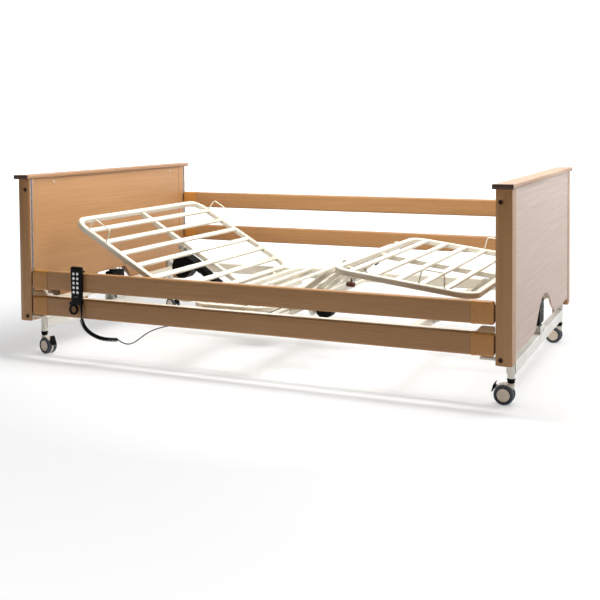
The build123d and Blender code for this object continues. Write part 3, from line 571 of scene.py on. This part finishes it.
def latches():
    """Wedge latches on the lowered side's lower bar, and the stops at the feet of all four tracks."""
    for side, word in ENDS:
        wedge = [(0.966, 0.2865), (1.0335, 0.2865), (1.0335, 0.3085), (0.986, 0.3085)]
        outline = round_corners([(side * x, z) for x, z in wedge], 0.004)
        mesh = slab("latch", outline, -0.6625, -0.6405, Matrix.Identity(4), 0.0015)
        add_piece(f"near_low_{word}_latch", mesh, LATCH, "near_low")
    for side_y in (-1, 1):
        for side, word in ENDS:
            x = sorted((side * 0.982, side * 1.0405))
            y = sorted((side_y * 0.637, side_y * 0.662))
            mesh = rounded_box("stop", (x[0], y[0], 0.1885), (x[1], y[1], 0.1975), 0.0015)
            row = "near" if side_y < 0 else "far"
            add_piece(f"{row}_{word}_track_stop", mesh, CREAM, "bed_frame")


latches()


# ================================================================ end boards
def rail_end_caps():
    """Dark plastic caps on the ends of both top rails."""
    low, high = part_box("end_top_rails")
    for side, word in ENDS:
        x = sorted((side * 1.0315, side * (high.x + 0.0006)))
        for row, y in (("near", (low.y - 0.0012, low.y + 0.004)), ("far", (high.y - 0.004, high.y + 0.0012))):
            mesh = rounded_box("rail_cap", (x[0], y[0], low.z - LIP_PROUD), (x[1], y[1], high.z + LIP_PROUD),
                               0.0022)
            add_piece(f"{word}_{row}_rail_cap", mesh, RAIL_CAP, "bed_frame")


def board_fittings():
    """Screw caps near the top of the inner boards and low on the outer boards."""
    profile = [(-0.002, 0.0), (-0.002, 0.0062), (0.0004, 0.0062), (0.0012, 0.0056), (0.0014, 0.0034),
               (0.0004, 0.003), (0.0004, 0.0)]
    for side, word in ENDS:
        for row, y in (("near", -0.492), ("far", 0.51)):
            place = facing((side * 1.0418, y, 0.786), (-side, 0, 0))
            mesh = lathe("screw", profile, place, 32)
            add_piece(f"{word}_{row}_board_screw", mesh, ZINC, "bed_frame")
        for row, y in (("near", -0.595), ("far", 0.595)):
            place = facing((side * 1.0992, y * 0.985, 0.252), (side, 0, 0))
            mesh = lathe("screw", profile, place, 32)
            add_piece(f"{word}_{row}_corner_screw", mesh, ZINC, "bed_frame")


def plug_rims():
    """Turned rims round the plugs of the posts."""
    profile = [(-0.003, 0.0066), (0.0004, 0.0092), (0.0012, 0.0090), (0.0014, 0.0078), (0.0006, 0.0072),
               (-0.001, 0.0066), (-0.001, 0.0)]
    for side, word in ENDS:
        for side_y, row in ((-1, "near"), (1, "far")):
            for z, level in ((0.193, "low"), (0.759, "high")):
                place = facing((side * 1.060, side_y * 0.6695, z), (0, side_y, 0))
                mesh = lathe("rim", profile, place, 40)
                add_piece(f"{word}_{row}_{level}_plug_rim", mesh, PLUG, "bed_frame")


rail_end_caps()
board_fittings()
plug_rims()


# ================================================================ lift columns
LIFT_AXIS_X = 1.071


def lift_drive(word):
    """Motor case with seam and ribs, pale outer tube, crossbar bracket, cable hook and pin heads."""
    side = 1 if word == "foot" else -1
    body = f"{word}_legs"
    x0, x1 = sorted((side * 1.040, side * 1.087))
    y0, y1 = sorted((-0.060 * side, 0.050 * side))
    mesh = rounded_box("case", (x0, y0, 0.1965), (x1, y1, 0.3035), 0.009, segments=5)
    add_piece(f"{word}_drive_case", mesh, BLACK, body, (f"{word}_lift_motor",))
    mesh = rounded_box("seam", (x0 - 0.0004, y0 - 0.0004, 0.2600), (x1 + 0.0004, y1 + 0.0004, 0.2630), 0.0008)
    add_piece(f"{word}_drive_seam", mesh, DEEP_BLACK, body)
    for index in range(5):
        z = 0.206 + index * 0.0095
        mesh = rounded_box("rib", (x0 - 0.0007, y0 + 0.016, z), (x1 + 0.0007, y1 - 0.016, z + 0.0036), 0.0006)
        add_piece(f"{word}_drive_rib_{index + 1}", mesh, BLACK, body)
    middle = side * LIFT_AXIS_X
    axis = facing((middle, 0, 0), (0, 0, 1))
    neck = [(0.296, 0.0), (0.296, 0.0215), (0.3065, 0.0215), (0.3085, 0.0205), (0.3085, 0.0165)]
    add_piece(f"{word}_drive_neck", lathe("neck", neck, axis), BLACK, body)
    tube = [(0.290, 0.0), (0.290, 0.0168), (0.6785, 0.0168), (0.680, 0.0155), (0.680, 0.0105), (0.60, 0.0105),
            (0.60, 0.0)]
    add_piece(f"{word}_drive_tube", lathe("tube", tube, axis), GREY_PAINT, body)
    tongue = rounded_box("tongue", (middle - 0.0115, -0.0122, 0.170), (middle + 0.0115, 0.0122, 0.200), 0.003)
    add_piece(f"{word}_drive_tongue", tongue, BLACK, body)
    head = [(0.0, 0.0), (0.0, 0.009), (0.0022, 0.009), (0.0032, 0.008), (0.0034, 0.0)]
    for row, y, way in (("near", -0.0195, -1), ("far", 0.0195, 1)):
        place = facing((middle, y, 0.184), (0, way, 0))
        add_piece(f"{word}_{row}_drive_pin_head", lathe("pin_head", head, place, 6), ZINC, body)
    x = sorted((side * 1.0860, side * 1.0893))
    mesh = rounded_box("strap", (x[0], -0.046, 0.146), (x[1], 0.046, 0.1905), 0.0015)
    add_piece(f"{word}_drive_bracket", mesh, GREY_PAINT, body)
    knob = [(0.0, 0.0), (0.0, 0.0122), (0.0018, 0.0125), (0.0038, 0.0116), (0.0046, 0.008), (0.0046, 0.0)]
    for row, y in (("near", -0.026), ("far", 0.026)):
        place = facing((side * 1.0890, y, 0.171), (side, 0, 0))
        mesh = lathe("bracket_head", knob, place, 40)
        add_piece(f"{word}_{row}_bracket_head", mesh, GREY_PAINT, body)
    hook = [(0.030, 0.300), (0.030, 0.312), (0.036, 0.3185), (0.052, 0.3205), (0.066, 0.317), (0.0705, 0.306),
            (0.0705, 0.292)]
    wire = rod_mesh("hook", [Vector((side * 1.0800, side * -y, z)) for y, z in hook], 0.0026)
    add_piece(f"{word}_drive_hook", wire, CREAM, body)


for end_name in ("head", "foot"):
    lift_drive(end_name)


# ================================================================ casters
TYRE_PROFILE = [(0.0052, 0.0295), (0.0052, 0.0335), (0.0068, 0.0362), (0.0098, 0.0375), (0.0165, 0.0375),
                (0.0198, 0.0368), (0.0220, 0.0348), (0.0230, 0.0318), (0.0226, 0.0300), (0.0212, 0.0292)]
RIM_PROFILE = [(0.0052, 0.0), (0.0052, 0.0296), (0.0215, 0.0296), (0.0208, 0.0280), (0.0206, 0.0258),
               (0.0214, 0.0246), (0.0190, 0.0240), (0.0190, 0.0)]
HUB_PROFILE = [(0.0185, 0.0), (0.0185, 0.0243), (0.0222, 0.0243), (0.0230, 0.0236), (0.0232, 0.0222),
               (0.0226, 0.0212), (0.0225, 0.0100), (0.0229, 0.0094), (0.0229, 0.0050), (0.0224, 0.0044),
               (0.0224, 0.0)]


def caster(name):
    """Twin wheels, central web with fender and stem seat, and the curved brake pedal with its arm."""
    stem = Vector(joints[f"{name}_swivel"]["pos_m"])
    axle = Vector(joints[f"{name}_roll"]["pos_m"])
    trail = Vector((axle.x - stem.x, axle.y - stem.y))
    place = Matrix.Translation((stem.x, stem.y, 0)) @ Matrix.Rotation(atan2(trail.y, trail.x), 4, "Z")
    centre = (trail.length, axle.z)
    hub_place = place @ Matrix.Translation((centre[0], 0, centre[1]))
    wheel_body, hood_body, pedal_body = f"{name}_wheel_pair", f"{name}_caster", f"{name}_pedal"
    for side, word in ((-1, "left"), (1, "right")):
        turn = hub_place @ Matrix.Rotation(-side * pi / 2, 4, "X")
        tyre = lathe("tyre", TYRE_PROFILE, turn)
        add_piece(f"{name}_{word}_tyre", tyre, TYRE, wheel_body, (f"{name}_wheels",))
        add_piece(f"{name}_{word}_rim", lathe("rim", RIM_PROFILE, turn), RIM, wheel_body)
        add_piece(f"{name}_{word}_hub", lathe("hub", HUB_PROFILE, turn), HUB, wheel_body)
    web = arc(centre, 0.0352, -62, 118, 28)
    web += [(-0.006, 0.080), (-0.0125, 0.080), (-0.0125, 0.066), (-0.004, 0.052), (0.004, 0.034),
            (0.018, 0.024)]
    add_piece(f"{name}_web", slab("web", web, -0.0042, 0.0042, place, 0.0012), HOOD, hood_body,
              (f"{name}_caster_hood",))
    fender = arc(centre, 0.0408, 42, 128, 20) + arc(centre, 0.0388, 128, 42, 20)
    mesh = slab("fender", fender, -0.0185, 0.0185, place, 0.0006)
    add_piece(f"{name}_fender", mesh, HOOD, hood_body)
    seat = [(0.066, 0.0), (0.066, 0.0125), (0.0745, 0.0135), (0.0785, 0.0125), (0.0812, 0.0095),
            (0.0812, 0.0)]
    add_piece(f"{name}_stem_seat", lathe("seat", seat, place), HOOD, hood_body)
    blade = [(0.0735, 0.0440), (0.0697, 0.0520), (0.0675, 0.0630), (0.0632, 0.0740), (0.0560, 0.0838),
             (0.0535, 0.0832), (0.0568, 0.0740), (0.0610, 0.0630), (0.0640, 0.0520), (0.0692, 0.0435)]
    mesh = slab("blade", round_corners(blade, 0.002, 3), -0.0115, 0.0115, place, 0.001)
    add_piece(f"{name}_pedal_blade", mesh, BLACK, pedal_body, (f"{name}_brake_pedal",))
    arm = [(0.0425, 0.0600), (0.0430, 0.0685), (0.0610, 0.0690), (0.0615, 0.0575)]
    mesh = slab("arm", round_corners(arm, 0.003, 3), -0.0085, 0.0085, place, 0.001)
    add_piece(f"{name}_pedal_arm", mesh, BLACK, pedal_body)


def collars(word):
    """Black two-stage collars under the leg tubes."""
    profile = [(0.0815, 0.0), (0.0815, 0.0110), (0.0825, 0.0128), (0.0845, 0.0142), (0.0875, 0.0144),
               (0.0890, 0.0128), (0.0905, 0.0128), (0.0920, 0.0150), (0.0965, 0.0156), (0.0990, 0.0150),
               (0.0996, 0.0138)]
    for row in ("near", "far"):
        stem = joints[f"{word}_{row}_swivel"]["pos_m"]
        place = Matrix.Translation((stem[0], stem[1], 0))
        add_piece(f"{word}_{row}_collar", lathe("collar", profile, place), BLACK, f"{word}_legs",
                  (f"{word}_caster_collars",))


for caster_name in CASTER_NAMES:
    caster(caster_name)
collars("head")
collars("foot")


# ================================================================ handset
HANDSET_X = (-0.810, -0.752)
HANDSET_Z = (0.264, 0.430)
HANDSET_BACK = -0.6672
HANDSET_FRONT = -0.6870
STRAP_X = (-0.792, -0.770)


def handset():
    """Waisted black case, lamps, key rings, hook strap, hanging ring, and the cord's two sleeves."""
    body = "near_top"
    (x0, x1), (z0, z1) = HANDSET_X, HANDSET_Z
    back, front = HANDSET_BACK, HANDSET_FRONT
    middle = (x0 + x1) / 2
    half = (x1 - x0) / 2
    shape = bmesh.new()
    levels = [(back, -0.0040), (back - 0.0015, -0.0012), (back - 0.004, 0.0), (front + 0.0065, 0.0),
              (front + 0.0028, -0.0012), (front + 0.0008, -0.0036), (front, -0.0065)]
    rings = []
    for y, grow in levels:
        corners = []
        for share in [step / 10 for step in range(11)]:
            waist = 1.0 - 0.07 * sin(pi * min(1.0, share * 1.25)) * (1 - share) - 0.05 * (1 - share)
            corners.append((half * waist, z0 + (z1 - z0) * share))
        right = [(middle + w + grow, z) for w, z in corners]
        left = [(middle - w - grow, z) for w, z in reversed(corners)]
        right[0] = (right[0][0], right[0][1] - grow)
        left[-1] = (left[-1][0], left[-1][1] - grow)
        right[-1] = (right[-1][0], right[-1][1] + grow)
        left[0] = (left[0][0], left[0][1] + grow)
        outline = round_corners(right + left, 0.009, 4)
        rings.append([shape.verts.new((x, y, z)) for x, z in outline])
    for lower, upper in zip(rings, rings[1:]):
        count = len(lower)
        for index in range(count):
            after = (index + 1) % count
            shape.faces.new([lower[index], lower[after], upper[after], upper[index]])
    shape.faces.new(rings[0])
    shape.faces.new(rings[-1])
    add_piece("handset_case", mesh_of("case", shape), HANDSET, body, ("handset_shell",),
              sharp=42.0)
    ring = [(-0.0010, 0.0064), (0.0004, 0.0066), (0.0006, 0.0074), (0.0, 0.0082), (-0.0012, 0.0082)]
    for name in BUTTON_NAMES:
        low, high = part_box(name)
        place = facing(((low.x + high.x) / 2, front, (low.z + high.z) / 2), (0, -1, 0))
        add_piece(f"{name}_ring", lathe("ring", ring, place, 40), DEEP_BLACK, body)
    for index, x in enumerate((middle - 0.005, middle + 0.005)):
        low, high = (x - 0.0015, front - 0.0004, 0.2985), (x + 0.0015, front + 0.002, 0.3015)
        mesh = rounded_box("lamp", low, high, 0.0005)
        add_piece(f"handset_lamp_{index + 1}", mesh, HUB, body)
    strap_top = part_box("near_top_bar")[1].z + 0.0015
    strap = [(back + 0.001, strap_top - 0.024), (back - 0.0002, strap_top - 0.010),
             (back + 0.0006, strap_top + 0.0030), (back + 0.006, strap_top + 0.0042),
             (-0.640, strap_top + 0.0042), (-0.6345, strap_top + 0.003),
             (-0.6338, strap_top - 0.010), (-0.6345, strap_top - 0.030), (-0.6315, strap_top - 0.0345)]
    shape = bmesh.new()
    line = curve_points([Vector((0, y, z)) for y, z in strap])
    for x in STRAP_X:
        for point in line:
            shape.verts.new((x, point.y, point.z))
    shape.verts.ensure_lookup_table()
    count = len(line)
    for index in range(count - 1):
        quad = [shape.verts[i] for i in (index, index + 1, count + index + 1, count + index)]
        shape.faces.new(quad)
    strap_mesh = mesh_of("strap", shape)
    piece = add_piece("handset_hook_strap", strap_mesh, HANDSET, body)
    thick = piece.modifiers.new("thickness", "SOLIDIFY")
    thick.thickness = 0.0018
    thick.offset = 0.0
    loop = arc((-0.7990, 0.2430), 0.0190, 88, 432, 28)
    mesh = rod_mesh("hanging_ring", [Vector((x, -0.6785, z)) for x, z in loop], 0.0052, sides=5)
    add_piece("handset_hanging_ring", mesh, HANDSET, body)
    tab = rounded_box("tab", (-0.8185, -0.684, 0.262), (-0.800, -0.672, 0.276), 0.003)
    add_piece("handset_tab", tab, HANDSET, body)
    sleeve = [(0.0, 0.0), (0.0, 0.0062), (0.006, 0.0062)]
    for index in range(6):
        z = 0.0075 + index * 0.0058
        wide = 0.0059 - index * 0.00032
        sleeve += [(z, wide - 0.0010), (z + 0.0012, wide), (z + 0.0040, wide - 0.0001),
                   (z + 0.0050, wide - 0.0010)]
    sleeve += [(0.0445, 0.0036), (0.0452, 0.0026)]
    place = facing((-0.758, -0.678, 0.265), (0, 0, -1))
    add_piece("handset_cord_sleeve", lathe("sleeve", sleeve, place, 32), CORD_RUBBER, body)
    place = facing((-0.192, -0.0915, 0.189), (0, -1, 0))
    add_piece("box_cord_sleeve", lathe("sleeve", sleeve, place, 32), CORD_RUBBER, "bed_frame")


handset()


# ================================================================ deck actuators
def along(start, end):
    """Frame at start with X towards end in the XZ plane, and Y across the bed."""
    run = Vector(end) - Vector(start)
    return Matrix.Translation(start) @ Matrix.Rotation(-atan2(run.z, run.x), 4, "Y")


BOLT_PROFILE = [(0.0, 0.0), (0.0, 0.0085), (0.0036, 0.0085), (0.0046, 0.0072), (0.0046, 0.0)]


def clevis_bolts(word, body, place):
    """Hexagon heads on both ends of a drive's clevis pin."""
    for row, way in (("near", -1), ("far", 1)):
        spot = place @ Vector((0, way * 0.0172, 0))
        bolt = lathe("bolt", BOLT_PROFILE, facing(spot, (0, way, 0)), 6)
        add_piece(f"{word}_drive_{row}_bolt", bolt, ZINC, body)


CASE_MIDDLE = (0.07, -0.062)


def about_case_middle(outline, scale):
    """The back motor's outline, larger or smaller about its middle."""
    x0, z0 = CASE_MIDDLE
    return [((x - x0) * scale + x0, (z - z0) * scale + z0) for x, z in outline]


def back_drive():
    """Angular motor case with ribbed covers and a seam, spindle tube, bright clevis tongue and its bolts."""
    body = "back_motor_unit"
    pivot = Vector(joints["back_motor_pivot"]["pos_m"])
    slide = Vector(joints["back_rod_slide"]["axis"])
    place = along(pivot, pivot + slide)
    outline = [(0.016, -0.044), (0.034, -0.0085), (0.100, -0.002), (0.121, -0.002), (0.121, -0.040),
               (0.118, -0.062), (0.112, -0.098), (0.086, -0.118), (0.044, -0.118), (0.019, -0.096),
               (0.012, -0.070)]
    case = slab("case", round_corners(outline, 0.008), -0.035, 0.035, place, 0.005, 3)
    add_piece("back_drive_case", case, BLACK, body, ("back_motor",))
    shrunk = about_case_middle(outline, 0.80)
    for row, y in (("near", -0.0362), ("far", 0.0362)):
        cover = slab("cover", round_corners(shrunk, 0.007), y - 0.0022, y + 0.0022, place, 0.0012)
        add_piece(f"back_drive_{row}_cover", cover, BLACK, body)
        for index in range(6):
            x = 0.040 + index * 0.0115
            rib = rounded_box("rib", (x, y - 0.0034, -0.102), (x + 0.004, y + 0.0034, -0.040), 0.001, place)
            add_piece(f"back_drive_{row}_rib_{index + 1}", rib, BLACK, body)
    proud = about_case_middle(outline, 1.006)
    seam = slab("seam", round_corners(proud, 0.008), -0.0008, 0.0008, place)
    add_piece("back_drive_seam", seam, DEEP_BLACK, body)
    tube_place = place @ Matrix.Translation((0, 0, -0.018)) @ Matrix.Rotation(pi / 2, 4, "Y")
    tube = [(0.118, 0.0), (0.118, 0.0245), (0.150, 0.0245), (0.153, 0.022), (0.258, 0.022), (0.260, 0.0232),
            (0.267, 0.0232), (0.269, 0.0215), (0.269, 0.0095), (0.240, 0.0095), (0.240, 0.0)]
    add_piece("back_drive_tube", lathe("tube", tube, tube_place), BLACK, body)
    tongue = [(-0.010, -0.010), (-0.010, 0.008), (0.0, 0.0105), (0.040, 0.006), (0.046, -0.012),
              (0.012, -0.013)]
    mesh = slab("tongue", round_corners(tongue, 0.006), -0.0122, 0.0122, place, 0.0015)
    add_piece("back_drive_tongue", mesh, ZINC, body)
    clevis_bolts("back", body, place)


def leg_drive():
    """Round motor with shallow grooves, gear case across it, pale spindle tube, tongue and bolts."""
    body = "leg_motor_unit"
    pivot = Vector(joints["leg_motor_pivot"]["pos_m"])
    slide = Vector(joints["leg_rod_slide"]["axis"])
    place = along(pivot, pivot + slide)
    axis = place @ Matrix.Translation((0, 0, -0.004)) @ Matrix.Rotation(pi / 2, 4, "Y")
    drum = [(0.022, 0.0), (0.022, 0.024), (0.025, 0.030), (0.031, 0.0335), (0.048, 0.034), (0.0495, 0.0330),
            (0.0510, 0.034), (0.0780, 0.034), (0.0795, 0.0330), (0.0810, 0.034), (0.1080, 0.034),
            (0.1095, 0.0330), (0.1110, 0.034), (0.126, 0.0335), (0.131, 0.030), (0.134, 0.023), (0.134, 0.0)]
    add_piece("leg_drive_drum", lathe("drum", drum, axis), BLACK, body, ("leg_motor",))
    tube_axis = place @ Matrix.Rotation(pi / 2, 4, "Y")
    tube = [(0.128, 0.0), (0.128, 0.0195), (0.150, 0.0195), (0.152, 0.017), (0.218, 0.017), (0.219, 0.0182),
            (0.2255, 0.0182), (0.2265, 0.017), (0.2265, 0.0095), (0.20, 0.0095), (0.20, 0.0)]
    add_piece("leg_drive_tube", lathe("tube", tube, tube_axis), GREY_PAINT, body)
    gear = [(-0.036, 0.0), (-0.036, 0.026), (-0.0345, 0.028), (-0.0345, 0.036), (-0.031, 0.0405),
            (-0.026, 0.042), (-0.0012, 0.042), (-0.0006, 0.0412), (0.0006, 0.0412), (0.0012, 0.042),
            (0.026, 0.042), (0.031, 0.0405), (0.0345, 0.036), (0.0345, 0.028), (0.036, 0.026), (0.036, 0.0)]
    gear_place = place @ Matrix.Translation((0.062, 0, -0.022)) @ Matrix.Rotation(pi / 2, 4, "X")
    add_piece("leg_drive_gear_case", lathe("gear_case", gear, gear_place), BLACK, body)
    tongue = rounded_box("tongue", (-0.0105, -0.0122, -0.0105), (0.032, 0.0122, 0.0105), 0.003, place)
    add_piece("leg_drive_tongue", tongue, ZINC, body)
    clevis_bolts("leg", body, place)


back_drive()
leg_drive()


# ================================================================ deck fittings
def deck_fittings():
    """Knob and wire clip under the thigh section, and the washers and bolts at the calf stays' pivots."""
    knee = Vector(joints["knee"]["pos_m"])
    hinge = Vector(joints["thigh_lift"]["pos_m"])
    thigh = along(Vector((hinge.x, 0, hinge.z)), Vector((knee.x, 0, knee.z)))
    knob = [(0.0, 0.0), (0.0, 0.004), (0.010, 0.004), (0.0105, 0.0105), (0.0125, 0.0125), (0.020, 0.0128),
            (0.0230, 0.0110), (0.0235, 0.0)]
    place = facing(thigh @ Vector((0.228, 0.190, -0.016)), thigh.to_3x3() @ Vector((0, 0, -1)))
    add_piece("thigh_knob", lathe("knob", knob, place, 40), BLACK, "thigh")
    clip = [(0.246, 0.176, -0.017), (0.246, 0.176, -0.032), (0.258, 0.176, -0.038), (0.268, 0.190, -0.038),
            (0.258, 0.204, -0.038), (0.246, 0.204, -0.032), (0.246, 0.204, -0.017)]
    wire = rod_mesh("clip", [thigh @ Vector(point) for point in clip], 0.0016)
    add_piece("thigh_wire_clip", wire, ZINC, "thigh")
    foot = Vector(joints["stay_pivot"]["pos_m"])
    bolt = [(0.0, 0.0), (0.0, 0.0078), (0.0034, 0.0078), (0.0044, 0.0066), (0.0044, 0.0)]
    washer = [(0.0, 0.0), (0.0, 0.0112), (0.0014, 0.0112), (0.0016, 0.0106), (0.0016, 0.0)]
    for row, middle in (("near", -0.150), ("far", 0.150)):
        for way, word in ((-1, "outer"), (1, "inner")):
            place = facing((foot.x, middle + way * 0.0100, foot.z), (0, way, 0))
            add_piece(f"{row}_{word}_stay_washer", lathe("washer", washer, place, 32), ZINC, "stays")
            place = facing((foot.x, middle + way * 0.0115, foot.z), (0, way, 0))
            add_piece(f"{row}_{word}_stay_bolt", lathe("bolt", bolt, place, 6), ZINC, "stays")


deck_fittings()


# ================================================================ studio
def area_light(name, place, target, size, power):
    data = bpy.data.lights.new(name, "AREA")
    data.shape = "RECTANGLE"
    data.size, data.size_y = size
    data.energy = power
    light = bpy.data.objects.new(name, data)
    way = Vector(target) - Vector(place)
    light.matrix_world = Matrix.Translation(place) @ way.to_track_quat("-Z", "Y").to_matrix().to_4x4()
    bpy.context.scene.collection.objects.link(light)


GLOW_REACH = (1.6, 3.6)
WORLD_LIGHT = 0.08
WORLD_SEEN = 1.0
FAR = 14
DEEP = 9


def glowing_sheet(name, low, high, albedo, glow, corner_order):
    """Plain sheet that glows as painted studio light: glow is its strength near the bed and far from it, so a
    weaker glow near the bed is painted shade round it.
    """
    mesh = bpy.data.meshes.new(name)
    mesh.from_pydata(corner_order(low, high), [], [(0, 1, 2, 3)])
    made = Surface(name, 0.9, specular=0.1)
    made.shader.inputs["Base Color"].default_value = (albedo, albedo, albedo, 1)
    made.shader.inputs["Emission Color"].default_value = (1, 1, 1, 1)
    distance = made.tree.nodes.new("ShaderNodeVectorMath")
    distance.operation = "LENGTH"
    made.tree.links.new(made.place, distance.inputs[0])
    strength = made.spread(distance.outputs["Value"], *GLOW_REACH, *glow)
    made.tree.links.new(strength, made.shader.inputs["Emission Strength"])
    mesh.materials.append(made.material)
    sheet = bpy.data.objects.new(name, mesh)
    bpy.context.scene.collection.objects.link(sheet)


def flat(low, high):
    (x0, y0, z0), (x1, y1, _) = low, high
    return [(x0, y0, z0), (x1, y0, z0), (x1, y1, z0), (x0, y1, z0)]


def upright(low, high):
    (x0, y0, z0), (x1, _, z1) = low, high
    return [(x0, y0, z0), (x1, y0, z0), (x1, y0, z1), (x0, y0, z1)]


def studio():
    """Floor, backdrop, lights and a world that lights the bed weakly but is bright to the camera."""
    # Painted light on the floor: its glow is weak near the bed, as painted shade, and strong far off; the
    # backdrop glows evenly.
    glowing_sheet("studio_floor", (-FAR, -DEEP, 0), (FAR, DEEP, 0), 0.5, (0.40, 0.97), flat)
    glowing_sheet("studio_backdrop", (-FAR, DEEP, -0.5), (FAR, DEEP, DEEP), 0.8, (1.3, 1.3), upright)
    area_light("key", (1.0, 0.1, 2.9), (-0.8, 0.3, 0.4), (2.2, 2.6), 112)
    area_light("inner", (0.0, -0.45, 2.2), (0.0, 0.7, 0.5), (2.5, 0.4), 48)
    area_light("foot", (3.4, 0.5, 1.5), (1.1, 0.0, 0.4), (1.6, 1.6), 4)
    world = bpy.data.worlds.new("studio_air")
    world.use_nodes = True
    tree = world.node_tree
    background = tree.nodes["Background"]
    background.inputs["Color"].default_value = (1, 1, 1, 1)
    seen = tree.nodes.new("ShaderNodeLightPath")
    level = tree.nodes.new("ShaderNodeMapRange")
    level.inputs["To Min"].default_value = WORLD_LIGHT
    level.inputs["To Max"].default_value = WORLD_SEEN
    tree.links.new(seen.outputs["Is Camera Ray"], level.inputs["Value"])
    tree.links.new(level.outputs["Result"], background.inputs["Strength"])
    bpy.context.scene.world = world
    bpy.context.scene.view_settings.view_transform = "Standard"


studio()
